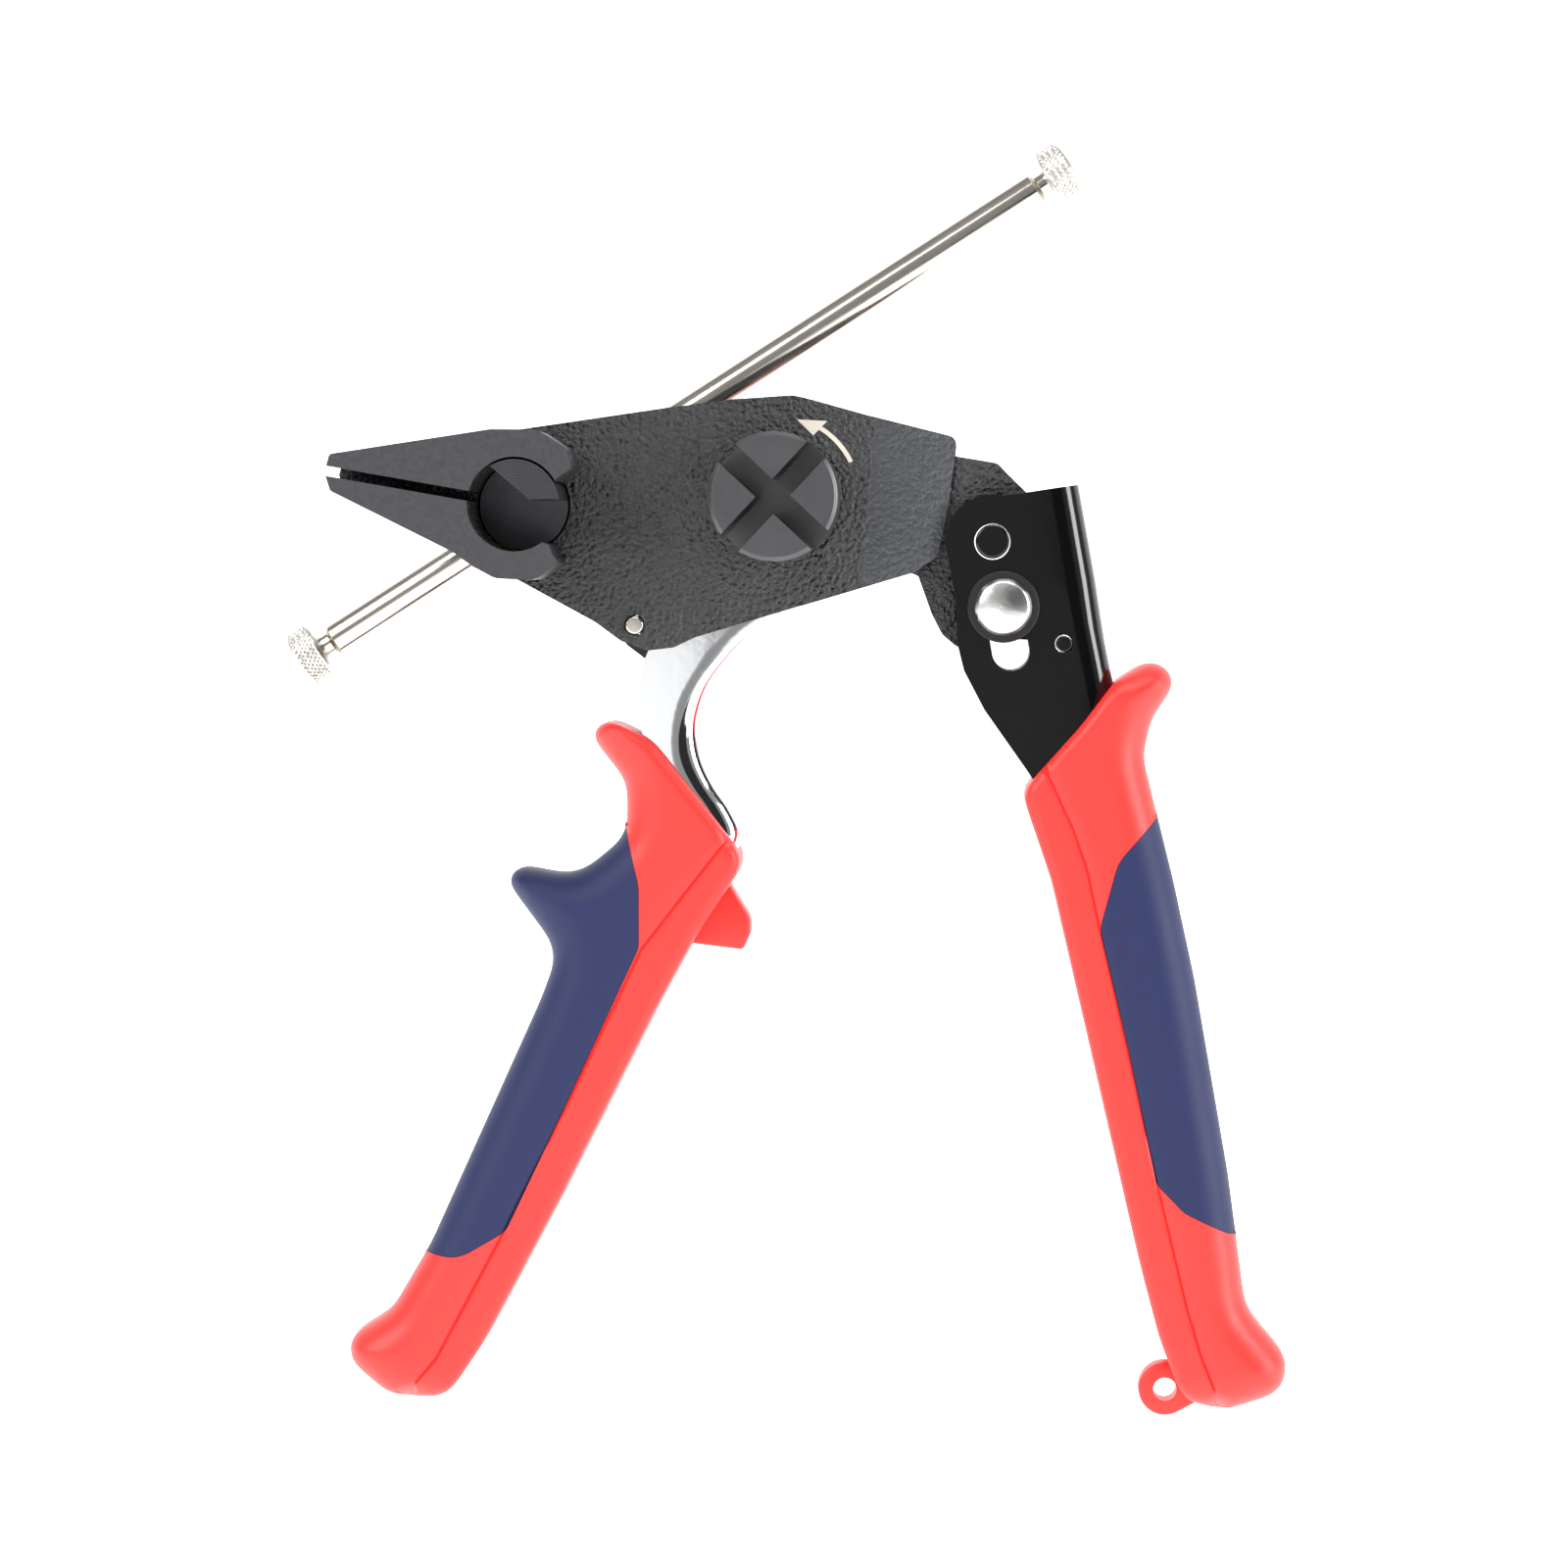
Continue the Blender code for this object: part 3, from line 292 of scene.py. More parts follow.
# --- rear cover and its screws -----------------------------------------------------------
# A pressed and milled steel plate in the same enamel, closed with four socket screws in
# black oxide, which leaves the steel dark with a thin oily shine.
cover = worked_copy("rear_cover", "milled_cover", crinkle, 0.5)
place(cover, "head", "casting", "rear_cover")

oxide, oxide_shader = finish_of("black_oxide_steel", "3A3A3C", 1.0, 0.42)
where = add_node(oxide, "TexCoord").outputs["Object"]
grain = add_node(oxide, "TexNoise", {"Scale": 1500, "Detail": 2}, {"Vector": where})
rub = add_node(oxide, "MapRange", {"To Min": 0.34, "To Max": 0.55}, {"Value": grain.outputs["Fac"]})
wire_up(oxide, rub.outputs[0], oxide_shader, "Roughness")
for number in (1, 2, 3, 4):
    screw = worked_copy(f"cover_screw_{number}", f"socket_screw_{number}", oxide, 0.3)
    place(screw, "head", "steel", f"cover_screw_{number}")


# --- bushes and the parts inside ------------------------------------------------------------
# Sintered bronze bushes, a hardened wheel and pawls left as ground, and spring wire drawn
# from dark steel.
bronze, bronze_shader = finish_of("sintered_bronze", "A77F45", 1.0, 0.38)
where = add_node(bronze, "TexCoord").outputs["Object"]
pores = add_node(bronze, "TexNoise", {"Scale": 2500, "Detail": 2}, {"Vector": where})
pore_bump = add_node(bronze, "Bump", {"Strength": 0.25, "Distance": 0.0001},
                     {"Height": pores.outputs["Fac"]})
wire_up(bronze, pore_bump.outputs[0], bronze_shader, "Normal")

ground, ground_shader = finish_of("ground_tool_steel", "8E8C88", 1.0, 0.34)
where = add_node(ground, "TexCoord").outputs["Object"]
lay = add_node(ground, "Mapping", {"Scale": (300, 300, 6000)}, {"Vector": where})
scratches = add_node(ground, "TexNoise", {"Scale": 1.0, "Detail": 2}, {"Vector": lay.outputs[0]})
scratch_rough = add_node(ground, "MapRange", {"To Min": 0.24, "To Max": 0.48},
                         {"Value": scratches.outputs["Fac"]})
wire_up(ground, scratch_rough.outputs[0], ground_shader, "Roughness")

finishes = {bronze: ("cutter_bush", "front_windlass_bush", "rear_windlass_bush"),
            ground: ("ratchet_wheel", "drive_pawl", "drive_pawl_pin", "detent_ball",
                     "handle_spring", "lever_return_spring", "hold_pawl_spring",
                     "drive_pawl_spring", "detent_spring"),
            oxide: ("windlass_retaining_ring", "cutter_retaining_ring", "detent_plug",
                    "rear_slot_washer", "slot_pin_nut")}
for material, names in finishes.items():
    for name in names:
        cad[name].data.materials.clear()
        cad[name].data.materials.append(material)

pawl = worked_copy("hold_pawl", "hold_pawl_forging", oxide, 0.4)
place(pawl, "hold_pawl", "steel", "hold_pawl")


# --- windlass and cutter ------------------------------------------------------------------------
# Both are turned from alloy steel, hardened and blackened. The end faces keep the fine
# rings that the lathe tool left.
def turned_steel(name, colour, centre, ring_mm):
    material, shader = finish_of(name, colour, 0.85, 0.36)
    here = add_node(material, "TexCoord").outputs["Object"]
    moved = add_node(material, "Mapping", {"Location": (-centre.x, 0, -centre.z)}, {"Vector": here})
    apart = add_node(material, "SeparateXYZ", None, {0: moved.outputs[0]})
    flat = add_node(material, "CombineXYZ", None, {0: apart.outputs["X"], 1: apart.outputs["Z"]})
    reach = add_node(material, "VectorMath", None, {0: flat.outputs[0]}, operation="LENGTH")
    rings = add_node(material, "Math", {1: 2 * pi / (ring_mm * MM)}, {0: reach.outputs["Value"]},
                     operation="MULTIPLY")
    wave = add_node(material, "Math", None, {0: rings.outputs[0]}, operation="SINE")
    patches = add_node(material, "TexNoise", {"Scale": 160, "Detail": 4}, {"Vector": here})
    mixed = add_node(material, "Math", None, {0: wave.outputs[0], 1: patches.outputs["Fac"]},
                     operation="MULTIPLY")
    bump = add_node(material, "Bump", {"Strength": 0.18, "Distance": 0.0001},
                    {"Height": mixed.outputs[0]})
    wire_up(material, bump.outputs[0], shader, "Normal")
    tone = add_node(material, "MapRange", {"To Min": 0.3, "To Max": 0.46},
                    {"Value": patches.outputs["Fac"]})
    wire_up(material, tone.outputs[0], shader, "Roughness")
    return material


windlass_steel = turned_steel("blackened_windlass_steel", "565658", AXIS, 0.5)
windlass = worked_copy("windlass", "slotted_windlass", windlass_steel, 0.6, 3)
place(windlass, "windlass", "steel", "windlass")

bush_low, bush_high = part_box("cutter_bush")
CUTTER_AXIS = (Vector(bush_low) + Vector(bush_high)) / 2
cutter_steel = turned_steel("blackened_cutter_steel", "444448", CUTTER_AXIS, 0.6)
cutter = worked_copy("cutter_shaft", "half_moon_cutter", cutter_steel, 0.25)
place(cutter, "cutter", "steel", "cutter_shaft")


# --- T-bar ------------------------------------------------------------------------------------------
# A cold-drawn rod, nickel plated, with its ends turned down and swaged, and two knobs
# pressed on. The knobs are diamond knurled and plated with the rod.
nickel, nickel_shader = finish_of("bright_nickel_plate", "C9C4BA", 1.0, 0.16)
where = add_node(nickel, "TexCoord").outputs["Object"]
haze = add_node(nickel, "TexNoise", {"Scale": 90, "Detail": 4}, {"Vector": where})
haze_rough = add_node(nickel, "MapRange", {"To Min": 0.1, "To Max": 0.24}, {"Value": haze.outputs["Fac"]})
wire_up(nickel, haze_rough.outputs[0], nickel_shader, "Roughness")

slide = next(j for j in frame["joints"] if j["name"] == "t_bar_slide")
ALONG = Vector(slide["axis"]).normalized()
lower_low, lower_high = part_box("lower_knob")
upper_low, upper_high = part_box("upper_knob")
LOWER = (Vector(lower_low) + Vector(lower_high)) / 2
UPPER = (Vector(upper_low) + Vector(upper_high)) / 2
BAR_SIDE = Vector((0, 1, 0))
BAR_UP = ALONG.cross(BAR_SIDE)
ROD_R = 4.0


def turned_along_bar(name, profile, middle, sides, material, relief=None):
    """A turned piece on the T-bar's line. Its (distance, radius) profile runs from the
    lower end, and relief adds a pattern to the radius by distance and angle."""
    work = bmesh.new()
    rings = []
    for distance, radius in profile:
        ring = []
        for k in range(sides):
            angle = 2 * pi * k / sides
            extra = relief(distance, angle) if relief else 0
            out = (radius + extra) * MM
            ring.append(work.verts.new(middle + ALONG * distance * MM
                                       + (BAR_SIDE * cos(angle) + BAR_UP * sin(angle)) * out))
        rings.append(ring)
    for near, far in zip(rings, rings[1:]):
        for k in range(sides):
            n = (k + 1) % sides
            work.faces.new((near[k], near[n], far[n], far[k]))
    work.faces.new(list(reversed(rings[0])))
    work.faces.new(rings[-1])
    bmesh.ops.recalc_face_normals(work, faces=work.faces)
    piece = piece_from(work, name, material)
    bpy.ops.object.shade_smooth_by_angle(angle=radians(35))
    return piece


span = (UPPER - LOWER).length / MM
NECK = 6.6                                 # middle of a knob to the rod's full diameter
NECK_R = 2.7
rod_profile = [(0, NECK_R), (NECK - 1.1, NECK_R), (NECK - 1.0, NECK_R + 0.3), (NECK, ROD_R)]
rod_profile += [(span - d, r) for d, r in reversed(rod_profile)]
rod = turned_along_bar("t_bar_rod", rod_profile, LOWER, 48, nickel)
place(rod, "t_bar", "bright", "t_bar")

knurled, knurled_shader = finish_of("knurled_nickel_plate", "D2CFC8", 1.0, 0.3)
where = add_node(knurled, "TexCoord").outputs["Object"]
dulling = add_node(knurled, "TexNoise", {"Scale": 700, "Detail": 3}, {"Vector": where})
dull_rough = add_node(knurled, "MapRange", {"To Min": 0.22, "To Max": 0.4},
                      {"Value": dulling.outputs["Fac"]})
wire_up(knurled, dull_rough.outputs[0], knurled_shader, "Roughness")

KNOB_R = 6.9
KNOB_HALF = 3.35
KNURL = 0.36                               # depth of the knurl's grooves
KNURL_TURNS = 17


def knurl(distance, angle):
    """Diamonds where two families of grooves cross, fading out at the rounded rims."""
    flat = max(0.0, min(1.0, (KNOB_HALF - 0.9 - abs(distance)) / 0.5))
    slope = distance * KNURL_TURNS / KNOB_R * 0.9
    ridge = abs(sin(KNURL_TURNS * angle + slope)) * abs(sin(KNURL_TURNS * angle - slope))
    return -KNURL * (1 - min(1.0, 1.6 * ridge)) * flat


steps = 28
rim = [(-KNOB_HALF, KNOB_R - 1.3), (-KNOB_HALF + 0.15, KNOB_R - 0.75), (-KNOB_HALF + 0.5, KNOB_R - 0.25),
       (-KNOB_HALF + 0.9, KNOB_R)]
flank = [(-KNOB_HALF + 0.9 + (2 * KNOB_HALF - 1.8) * i / steps, KNOB_R) for i in range(1, steps)]
knob_profile = ([(-KNOB_HALF - 0.05, 1.0), (-KNOB_HALF, KNOB_R - 2.2)] + rim + flank
                + [(-d, r) for d, r in reversed(rim)] + [(KNOB_HALF, KNOB_R - 2.2),
                                                          (KNOB_HALF + 0.05, 1.0)])
for name, middle, node in (("lower_knurled_knob", LOWER, "lower_knob"),
                           ("upper_knurled_knob", UPPER, "upper_knob")):
    knob = turned_along_bar(name, knob_profile, middle, 306, knurled, knurl)
    place(knob, "t_bar", "bright", node)


# --- front lever ----------------------------------------------------------------------------------------
# Pressed from 2 mm steel into a channel whose back is bent round on a wide radius, then
# polished and chromed, so that it mirrors the room.
chrome, chrome_shader = finish_of("polished_chrome_plate", "D9DADC", 1.0, 0.07)
where = add_node(chrome, "TexCoord").outputs["Object"]
orange_peel = add_node(chrome, "TexNoise", {"Scale": 260, "Detail": 2}, {"Vector": where})
peel_bump = add_node(chrome, "Bump", {"Strength": 0.05, "Distance": 0.0002},
                     {"Height": orange_peel.outputs["Fac"]})
wire_up(chrome, peel_bump.outputs[0], chrome_shader, "Normal")

DEPTH_MIDDLE = at(0, 12, 0).y
CHANNEL_INSIDE = 6.5                       # edges nearer to the middle belong to the inside


def outer_back(edge_line, top, border_x, border_lean, least_x):
    """An outer edge between a channel's side plate and its back, right of a leaning line."""
    normals = [face.normal for face in edge_line.link_faces]
    side_plate = any(abs(n.y) > 0.9 for n in normals)
    back = any(abs(n.y) < 0.1 and n.x > least_x for n in normals)
    middle = (edge_line.verts[0].co + edge_line.verts[1].co) / 2
    drop = at(0, 0, 0).z - middle.z
    outside = abs(middle.y - DEPTH_MIDDLE) > CHANNEL_INSIDE * MM
    return (side_plate and back and outside and middle.z < top
            and middle.x > at(border_x, 0, 0).x + border_lean * drop)


def lengthwise(points, count):
    """An open line again, smoothed by a spline, with evenly spaced points."""
    knots = [Vector(p) for p in points]
    knots = [2 * knots[0] - knots[1]] + knots + [2 * knots[-1] - knots[-2]]
    fine = []
    for a, b, c, d in zip(knots, knots[1:], knots[2:], knots[3:]):
        for k in range(12):
            t = k / 12
            fine.append((2 * b + (c - a) * t + (2 * a - 5 * b + 4 * c - d) * t * t
                         + (3 * b - a - 3 * c + d) * t ** 3) / 2)
    fine.append(knots[-2])
    lengths = [(q - p).length for p, q in zip(fine, fine[1:])]
    out = []
    index = 0
    passed = 0.0
    for k in range(count):
        goal = sum(lengths) * k / (count - 1)
        while index < len(lengths) - 1 and passed + lengths[index] < goal:
            passed += lengths[index]
            index += 1
        out.append(fine[index].lerp(fine[index + 1], (goal - passed) / lengths[index]))
    return out


# The shank: bent round on a wide radius down its whole right side. It reaches up into the
# head, where the lever's forked end holds the windlass.
LEVER_RIGHT = [(11.0, -20.5), (4.7, -24.3), (-5.1, -31.0), (-10.6, -36.5), (-14.8, -42.2),
               (-17.1, -48.0), (-17.8, -53.3), (-16.9, -58.8), (-14.3, -64.3), (-10.6, -69.8),
               (-8.3, -75.4), (-9.8, -80.0), (-17.0, -89.0), (-30.0, -104.0)]
LEVER_LEFT = [(-22.5, -24.0), (-29.4, -34.5), (-31.2, -42.2), (-31.6, -47.7), (-30.9, -52.2),
              (-29.0, -60.0), (-29.5, -72.0), (-33.0, -88.0), (-40.0, -103.0)]
LEVER_FRONT = 5.0
LEVER_BACK = 19.0
LEVER_PLATE = 1.9
FORK_END = -23.0                           # where the shank takes over from the fork
BEND = 5.4
BEND_STEPS = 12
right = lengthwise(LEVER_RIGHT, 90)
left = lengthwise(LEVER_LEFT, 90)
work = bmesh.new()
rows = []
for near, far in zip(right, left):
    over = (far - near).normalized()
    reach = (far - near).length
    profile = [(reach, LEVER_FRONT)]
    profile += [(BEND + (reach - BEND) * k / 4, LEVER_FRONT) for k in (3, 2, 1)]
    turns = [pi / 2 * k / BEND_STEPS for k in range(BEND_STEPS + 1)]
    profile += [(BEND * (1 - sin(turn)), LEVER_FRONT + BEND * (1 - cos(turn))) for turn in turns]
    profile += [(d, LEVER_FRONT + LEVER_BACK - y) for d, y in reversed(profile)]
    rows.append([work.verts.new(at(near.x + over.x * d, y, near.y + over.y * d))
                 for d, y in profile])
for upper, lower in zip(rows, rows[1:]):
    for k in range(len(upper) - 1):
        work.faces.new((upper[k], upper[k + 1], lower[k + 1], lower[k]))
bmesh.ops.recalc_face_normals(work, faces=work.faces)
shank = piece_from(work, "chromed_shank", chrome)
middle_face = shank.data.polygons[len(shank.data.polygons) // 2]
thick = shank.modifiers.new("plate", "SOLIDIFY")
thick.thickness = LEVER_PLATE * MM
thick.offset = -1 if middle_face.normal.x > 0 else 1
thick.use_even_offset = True
bpy.ops.object.modifier_apply(modifier=thick.name)
bpy.ops.object.shade_smooth_by_angle(angle=radians(40))

fork = worked_copy("front_lever", "chromed_fork", chrome, 0.35)
bpy.ops.object.mode_set(mode="EDIT")
bpy.ops.mesh.select_all(action="SELECT")
bpy.ops.mesh.bisect(plane_co=at(0, 0, FORK_END), plane_no=(0, 0, 1), clear_inner=True, use_fill=True)
bpy.ops.object.mode_set(mode="OBJECT")
for piece in (shank, fork):
    place(piece, "front_lever", "bright", "front_lever")

hold_pin = worked_copy("hold_pawl_pin", "bright_hold_pin", nickel, 0.4)
place(hold_pin, "head", "bright", "hold_pawl_pin")


# --- rear handle ----------------------------------------------------------------------------------------
# The same kind of channel in thicker steel, bent on a wider radius and dipped in gloss
# black enamel, which flows smooth over the edges.
HANDLE_BEND = 6.6
enamel, enamel_shader = finish_of("gloss_black_enamel", "070708", 0.0, 0.12, IOR=1.5)
where = add_node(enamel, "TexCoord").outputs["Object"]
flow = add_node(enamel, "TexNoise", {"Scale": 120, "Detail": 2}, {"Vector": where})
flow_bump = add_node(enamel, "Bump", {"Strength": 0.08, "Distance": 0.0004},
                     {"Height": flow.outputs["Fac"]})
wire_up(enamel, flow_bump.outputs[0], enamel_shader, "Normal")

handle = worked_copy("rear_handle", "enamelled_handle", enamel, 0.5, 3,
                     (HANDLE_BEND, lambda e: outer_back(e, at(0, 0, 9).z, 65.5, 0.13, 0.7)))
place(handle, "rear_handle", "enamel", "rear_handle")
pivot_pin = worked_copy("handle_pivot_pin", "enamelled_pivot_pin", enamel, 0.6, 3)
place(pivot_pin, "head", "enamel", "handle_pivot_pin")
rivet = worked_copy("cross_rivet", "small_cross_rivet", enamel, 0.35)
place(rivet, "rear_handle", "steel", "cross_rivet")

satin, satin_shader = finish_of("satin_turned_steel", "D6D6D4", 1.0, 0.27)
where = add_node(satin, "TexCoord").outputs["Object"]
scuffs = add_node(satin, "TexNoise", {"Scale": 420, "Detail": 5, "Roughness": 0.7}, {"Vector": where})
scuff_bump = add_node(satin, "Bump", {"Strength": 0.35, "Distance": 0.0002},
                      {"Height": scuffs.outputs["Fac"]})
wire_up(satin, scuff_bump.outputs[0], satin_shader, "Normal")
slot_pin = worked_copy("slot_pin", "domed_slot_pin", satin, 0.5, 3)
place(slot_pin, "slot_pin", "bright", "slot_pin")
washer = worked_copy("front_slot_washer", "dark_slot_washer", oxide, 0.3, 3)
place(washer, "slot_pin", "steel", "front_slot_washer")


# --- grips --------------------------------------------------------------------------------------------------
# Hard red polypropylene moulded over the steel, with a soft blue rubber panel moulded
# into it. Both come out of a spark-eroded tool, which leaves a fine even grain.
def moulded(name, colour, roughness, grain_mm, **sockets):
    material, shader = finish_of(name, colour, 0.0, roughness, **sockets)
    here = add_node(material, "TexCoord").outputs["Object"]
    grain = add_node(material, "TexNoise", {"Scale": 1 / (grain_mm * MM), "Detail": 2},
                     {"Vector": here})
    bump = add_node(material, "Bump", {"Strength": 0.2, "Distance": 0.00015},
                    {"Height": grain.outputs["Fac"]})
    wire_up(material, bump.outputs[0], shader, "Normal")
    cloud = add_node(material, "TexNoise", {"Scale": 45, "Detail": 3}, {"Vector": here})
    dull = add_node(material, "MapRange", {"To Min": roughness - 0.05, "To Max": roughness + 0.07},
                    {"Value": cloud.outputs["Fac"]})
    wire_up(material, dull.outputs[0], shader, "Roughness")
    return material


red = moulded("red_polypropylene", "E6302A", 0.42, 0.5, Specular_IOR_Level=0.4)
blue = moulded("blue_soft_rubber", "161F49", 0.55, 0.4, Specular_IOR_Level=0.35)

GRIP_FRONT = -1.0
GRIP_BACK = 25.0
HALF_DEPTH = (GRIP_BACK - GRIP_FRONT) / 2
ROUND = 9.0                               # reach of the side rounding towards the fingers
CRISP = 2.4                               # and along the edges that face the tool
TALL = 1.12                               # depth of the rounding over its reach
CREASE_DEEP = 0.75
CREASE_SHORT = 0.75                       # reach of the crease's steep side, on the strip
CREASE_LONG = 3.2                         # and of its gentle side
LEAST_HALF = 2.5                          # half the thickness that is left at the outline


def corner_arcs(points, steps=6):
    """An (x, z) outline whose corners with a third number are rounded to that radius."""
    out = []
    for i, point in enumerate(points):
        here = Vector(point[:2])
        if len(point) == 2:
            out.append(here)
            continue
        back = Vector(points[i - 1][:2]) - here
        ahead = Vector(points[(i + 1) % len(points)][:2]) - here
        half = back.angle(ahead) / 2
        reach = min(point[2] * cos(half) / sin(half), 0.48 * back.length, 0.48 * ahead.length)
        radius = reach * sin(half) / cos(half)
        centre = here + (back.normalized() + ahead.normalized()).normalized() * radius / sin(half)
        first = here + back.normalized() * reach - centre
        last = here + ahead.normalized() * reach - centre
        turn = first.angle_signed(last)
        for k in range(steps + 1):
            out.append(centre + Matrix.Rotation(-turn * k / steps, 2) @ first)
    return out


def evenly(points, pitch):
    """The same closed outline, anticlockwise, with its points a set distance apart."""
    loop = points + [points[0]]
    if sum(a.cross(b) for a, b in zip(loop, loop[1:])) < 0:
        loop.reverse()
    lengths = [(b - a).length for a, b in zip(loop, loop[1:])]
    total = sum(lengths)
    count = round(total / pitch)
    out = []
    index = 0
    passed = 0.0
    for k in range(count):
        goal = total * k / count
        while passed + lengths[index] < goal:
            passed += lengths[index]
            index += 1
        out.append(loop[index].lerp(loop[index + 1], (goal - passed) / lengths[index]))
    return out


def inward(points):
    """Unit normals that point into an anticlockwise outline."""
    out = []
    for i in range(len(points)):
        along = points[(i + 1) % len(points)] - points[i - 1]
        out.append(Vector((-along.y, along.x)).normalized())
    return out


def relaxed(values, rounds):
    """Evens out the values round a closed outline."""
    for _ in range(rounds):
        values = [(values[i - 1] + 2 * v + values[(i + 1) % len(values)]) / 4
                  for i, v in enumerate(values)]
    return values


def off_line(p, line):
    """The distance from a point to an open line, and on which side of it the point is."""
    best = (1e9, 0)
    for a, b in zip(line, line[1:]):
        foot, share = intersect_point_line(p, a, b)
        foot = a if share < 0 else b if share > 1 else foot
        away = (p - foot.to_2d()).length
        if away < best[0]:
            best = (away, (b - a).cross(p - a))
    return best


def grip_sheet(outline, crisp, panel, crease, strip_side):
    """Triangulates a grip's side and gives each point its depth behind the front. The
    depth comes from the rounding along the outline and from the crease."""
    crisp = [Vector(p) for p in crisp]
    crease = [Vector(p) for p in crease]
    edge = relaxed(evenly(corner_arcs(outline), 1.25), 3)
    count = len(edge)
    normals = inward(edge)
    rounds = relaxed([CRISP if off_line(p, crisp)[0] < 2.2 else ROUND for p in edge], 14)
    finder = KDTree(count)
    for i, p in enumerate(edge):
        finder.insert((*p, 0), i)
    finder.balance()

    points = list(edge)
    lines = []
    fine = []
    for a, b in zip(crease, crease[1:]):
        parts = max(2, round((b - a).length / 1.5))
        fine += [a.lerp(b, k / parts) for k in range(parts)]
    for shift in (-1.7, -0.9, -0.45, 0, 0.45, 0.9, 1.7):
        row = [p + Vector((-(q - p).y, (q - p).x)).normalized() * shift
               for p, q in zip(fine, fine[1:])]
        row = [p for p in row if finder.find((*p, 0))[2] > 0.3]
        lines.append((len(points), len(row)))
        points += row
    fresh = []
    for depth in (0.06, 0.22, 0.5, 0.9, 1.4, 2.0, 2.7, 3.5):
        fresh += [(p + n * depth, 0.96 * depth) for p, n in zip(edge, normals)]
    pitch = 1.35
    low_x, low_z = min(p.x for p in edge), min(p.y for p in edge)
    for row in range(int((max(p.y for p in edge) - low_z) / pitch)):
        for column in range(int((max(p.x for p in edge) - low_x) / pitch)):
            x = low_x + (column + row % 2 / 2) * pitch
            fresh.append((Vector((x, low_z + row * pitch)), 3.9))
    for p, clear in fresh:
        _, index, away = finder.find((*p, 0))
        inside = (p - edge[index]).dot(normals[index]) > 0
        if away >= clear and inside and off_line(p, crease)[0] > 2.1:
            points.append(p)

    loop = list(range(count))
    panel_line = evenly(corner_arcs(panel), 1.2)
    outer_line = [p - n * 0.09 for p, n in zip(panel_line, inward(panel_line))]
    start = len(points)
    points += outer_line
    outer_loop = list(range(start, len(points)))
    start = len(points)
    points += panel_line
    panel_loop = list(range(start, len(points)))
    joined = [(first + k, first + k + 1) for first, length in lines for k in range(length - 1)]
    loops = [loop, outer_loop, panel_loop]
    flat, _, triangles, _, _, owners = delaunay_2d_cdt(points, joined, loops, 1, 1e-4)

    def sink(p):
        """How far the surface stands behind the grip's front."""
        deepest = 0.0
        for _, index, away in finder.find_range((*p, 0), ROUND):
            reach = rounds[index]
            if away < reach:
                fall = reach * TALL * (1 - sqrt(1 - (1 - away / reach) ** 2))
                deepest = max(deepest, fall)
        away, side = off_line(p, crease)
        reach = CREASE_SHORT if side * strip_side > 0 else CREASE_LONG
        if away < reach:
            deepest += CREASE_DEEP * (1 - sqrt(1 - (1 - away / reach) ** 2))
        return min(deepest, HALF_DEPTH - LEAST_HALF)

    return flat, triangles, owners, [sink(p) for p in flat]


def grip_part(name, sheet, wanted, material):
    """One moulding of a grip: the wanted triangles in front and behind, with walls round."""
    flat, triangles, owners, sinks = sheet
    chosen = [t for t, owner in zip(triangles, owners) if wanted(owner)]
    used = sorted({i for t in chosen for i in t})
    work = bmesh.new()
    front = {i: work.verts.new(at(flat[i].x, GRIP_FRONT + sinks[i], flat[i].y)) for i in used}
    back = {i: work.verts.new(at(flat[i].x, GRIP_BACK - sinks[i], flat[i].y)) for i in used}
    sides = {}
    for t in chosen:
        work.faces.new([front[i] for i in t])
        work.faces.new([back[i] for i in reversed(t)])
        for a, b in zip(t, t[1:] + t[:1]):
            sides[frozenset((a, b))] = None if frozenset((a, b)) in sides else (a, b)
    for pair in sides.values():
        if pair:
            a, b = pair
            work.faces.new((front[b], front[a], back[a], back[b]))
    bmesh.ops.recalc_face_normals(work, faces=work.faces)
    piece = piece_from(work, name, material)
    bpy.ops.object.shade_smooth_by_angle(angle=radians(40))
    return piece


def two_colour_grip(name, sheet, body):
    """The red body round the blue panel, parted by the fine line between their mouldings."""
    body_piece = grip_part(f"{name}_grip_body", sheet,
                           lambda owner: 0 in owner and 1 not in owner, red)
    panel_piece = grip_part(f"{name}_rubber_panel", sheet,
                            lambda owner: 0 in owner and 2 in owner, blue)
    place(body_piece, body, "red_grip", f"{name}_grip")
    place(panel_piece, body, "blue_insert", f"{name}_insert")


FRONT_OUTLINE = [(-43.1, -53.0, 4), (-38.6, -49.4, 4), (-28.7, -54.3, 8), (-14.2, -72.1),
                 (-7.2, -81.5, 5), (-19.0, -99.5), (-27.0, -114.2), (-49.0, -157.9),
                 (-66.6, -190.9), (-75.5, -204.1, 9), (-88.5, -204.1, 9), (-97.9, -196.0, 5),
                 (-97.9, -190.5, 5), (-88.3, -184.4, 8), (-79.2, -168.9), (-54.3, -113.8),
                 (-50.0, -102.5, 9), (-61.9, -86.4, 3), (-59.4, -83.0, 3), (-46.0, -85.5, 10),
                 (-34.4, -76.0, 8), (-34.4, -64.0, 8)]
FRONT_CRISP = [(-38.6, -49.4), (-28.7, -54.3), (-14.2, -72.1), (-7.2, -81.5), (-19.0, -99.5),
               (-27.0, -114.2), (-49.0, -157.9), (-66.6, -190.9), (-75.5, -204.1)]
FRONT_PANEL = [(-34.8, -73.0), (-31.2, -87.0, 12), (-31.2, -101.0, 3), (-47.0, -135.0),
               (-61.4, -165.3, 5), (-72.2, -171.5, 9), (-95.0, -169.0), (-80.0, -72.0)]
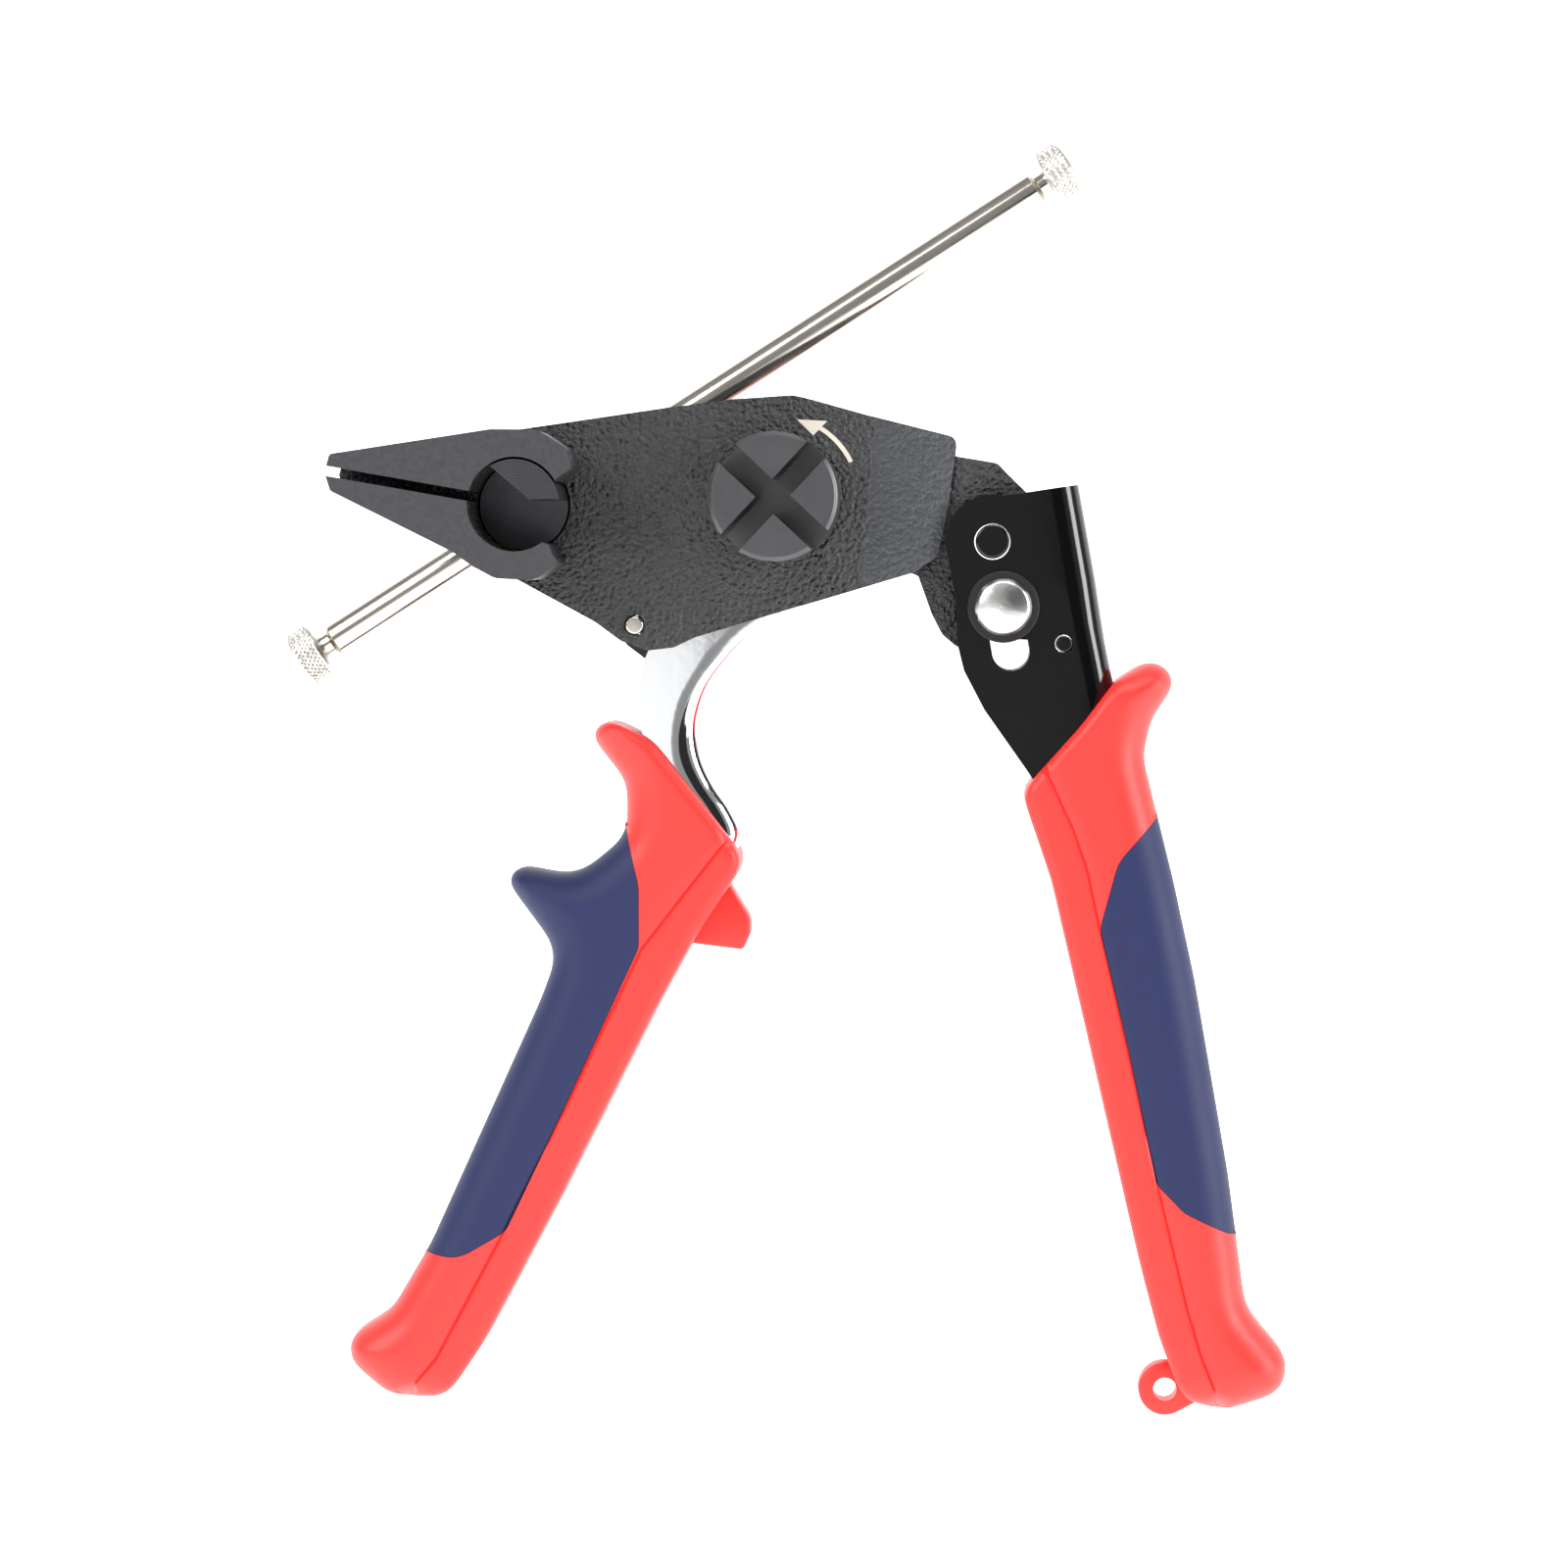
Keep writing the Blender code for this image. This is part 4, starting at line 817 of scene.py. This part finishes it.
FRONT_CREASE = [(-12.2, -77.8), (-30.6, -101.4), (-46.2, -134.0), (-62.3, -166.4),
                (-71.1, -182.9), (-77.2, -194.3), (-84.3, -202.5)]
two_colour_grip("front", grip_sheet(FRONT_OUTLINE, FRONT_CRISP, FRONT_PANEL, FRONT_CREASE, 1),
                "front_lever")
TAB = [(-13.0, -84.0), (-6.4, -94.8), (-6.4, -98.2), (-8.0, -102.0), (-24.0, -100.0)]
tab = flat_plate("stop_tab", TAB, 7, 17, red, 0.9)
place(tab, "front_lever", "red_grip")

REAR_OUTLINE = [(54.7, -66.0, 4), (68.0, -51.2), (75.5, -41.3, 8), (84.1, -35.6, 6),
                (90.4, -40.5, 5), (84.2, -49.5, 6), (82.2, -58.0, 8), (89.2, -86.2),
                (94.0, -108.3), (101.7, -152.4), (105.8, -183.0, 12), (115.3, -194.5, 5),
                (114.3, -202.0, 6), (101.0, -206.4, 8), (91.5, -203.5, 8), (86.0, -189.0),
                (82.1, -174.4), (69.3, -119.3), (61.6, -86.2), (57.9, -75.2)]
REAR_CRISP = [(75.5, -41.3), (68.0, -51.2), (54.7, -66.0), (57.9, -75.2), (61.6, -86.2),
              (69.3, -119.3), (82.1, -174.4), (86.0, -189.0), (91.5, -203.5)]
REAR_PANEL = [(86.5, -70.5), (76.5, -81.5, 10), (72.4, -96.5, 6), (79.0, -124.4),
              (85.3, -154.0, 2), (91.5, -160.4, 5), (102.0, -165.6, 4), (125.0, -166.0),
              (112.0, -70.0)]
REAR_CREASE = [(59.8, -60.2), (62.9, -66.8), (66.4, -74.5), (69.5, -83.5), (72.4, -97.0),
               (79.0, -125.5), (85.4, -154.3), (88.4, -166.6), (92.0, -181.6), (95.3, -192.8),
               (99.9, -204.2)]
two_colour_grip("rear", grip_sheet(REAR_OUTLINE, REAR_CRISP, REAR_PANEL, REAR_CREASE, -1),
                "rear_handle")

EYE = (87.6, -201.7)
EYE_R = 6.0
EYE_HOLE_R = 2.65
ring = arc(EYE_R, 60, 300, 28, EYE) + [(96, -204), (96, -195)]
eye = flat_plate("lanyard_eye", ring, 8.5, 15.5, red, 1.4)
bore = flat_plate("eye_bore", arc(EYE_HOLE_R, 0, 345, 23, EYE), 5, 19, None)
drill = eye.modifiers.new("bore", "BOOLEAN")
drill.solver = "EXACT"
drill.object = bore
select_only(eye)
bpy.ops.object.modifier_apply(modifier=drill.name)
bpy.data.objects.remove(bore)
bpy.ops.object.shade_smooth_by_angle(angle=radians(40))
place(eye, "rear_handle", "red_grip")


# --- studio --------------------------------------------------------------------------------------------------
# A white sweep and soft boxes, as for a catalogue picture.
paper, _ = finish_of("white_sweep_paper", "F4F4F4", 0.0, 0.9, Emission_Color=(1, 1, 1, 1),
                     Emission_Strength=0.9)
low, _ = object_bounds()
floor_z = low[2] - 0.03
bpy.ops.object.select_all(action="DESELECT")
bpy.ops.mesh.primitive_plane_add(size=1, location=(0, 0, 0))
sweep = bpy.context.object
sweep.name = "paper_sweep"
work = bmesh.new()
line = [(-2.2, 0.0), (0.6, 0.0)]
line += [(0.6 + 0.9 * sin(radians(a)), 0.9 - 0.9 * cos(radians(a))) for a in range(10, 91, 10)]
line += [(1.5, 3.0)]
rows = [[work.verts.new((x, y, floor_z + z)) for y, z in line] for x in (-4, 4)]
for k in range(len(line) - 1):
    work.faces.new((rows[0][k], rows[1][k], rows[1][k + 1], rows[0][k + 1]))
work.to_mesh(sweep.data)
work.free()
for face in sweep.data.polygons:
    face.use_smooth = True
sweep.data.materials.append(paper)

world = bpy.data.worlds.new("studio")
bpy.context.scene.world = world
world.use_nodes = True
world.node_tree.nodes["Background"].inputs["Color"].default_value = (1, 1, 1, 1)
world.node_tree.nodes["Background"].inputs["Strength"].default_value = 0.36


def soft_box(name, stand, target, width, height, power):
    lamp = bpy.data.lights.new(name, "AREA")
    lamp.shape = "RECTANGLE"
    lamp.size = width
    lamp.size_y = height
    lamp.energy = power
    made = bpy.data.objects.new(name, lamp)
    bpy.context.scene.collection.objects.link(made)
    made.location = stand
    made.rotation_euler = (target - stand).to_track_quat("-Z", "Y").to_euler()


MIDDLE = at(1.5, 0, -64)
soft_box("key_box", MIDDLE + Vector((-1.0, -0.9, 0.8)), MIDDLE, 0.9, 0.9, 19)
soft_box("right_box", MIDDLE + Vector((1.25, -0.3, 0.25)), MIDDLE, 0.4, 1.0, 15)
soft_box("top_box", MIDDLE + Vector((0.1, -0.5, 1.2)), MIDDLE, 0.9, 0.6, 9)
soft_box("lever_card", at(-360, -1150, -330), MIDDLE, 0.62, 0.6, 1.3)

# Black flag on the right: it keeps the room off the chrome and the gloss enamel.
flag_cloth, _ = finish_of("black_flag_cloth", "050505", 0.0, 1.0)
bpy.ops.object.select_all(action="DESELECT")
bpy.ops.mesh.primitive_plane_add(size=1, location=(0, 0, 0))
flag = bpy.context.object
flag.name = "black_flag"
across = Vector((0.75, 0.55, 0)).normalized()
corner = MIDDLE + Vector((0.14, -1.25, -0.7))
for vertex, (u, v) in zip(flag.data.vertices, ((0, 0), (0.85, 0), (0, 1.5), (0.85, 1.5))):
    vertex.co = corner + across * u + Vector((0, 0, v))
flag.data.materials.append(flag_cloth)
flag.visible_camera = False

# The camera stands level with the head and right of it, and is aimed at the tool's middle.
camera_data = bpy.data.cameras.new("camera")
camera = bpy.data.objects.new("camera", camera_data)
bpy.context.scene.collection.objects.link(camera)
EYE_POINT = at(42.2, -1106, -17.9)
AIM = at(1.5, 0, -64.1)
VIEW_WIDTH = 352 * MM
camera.location = EYE_POINT
camera.rotation_euler = (AIM - EYE_POINT).to_track_quat("-Z", "Y").to_euler()
camera_data.sensor_width = 36
camera_data.lens = 36 * (AIM - EYE_POINT).length / VIEW_WIDTH
bpy.context.scene.camera = camera
bpy.context.scene.view_settings.view_transform = "Standard"

bpy.context.view_layer.update()
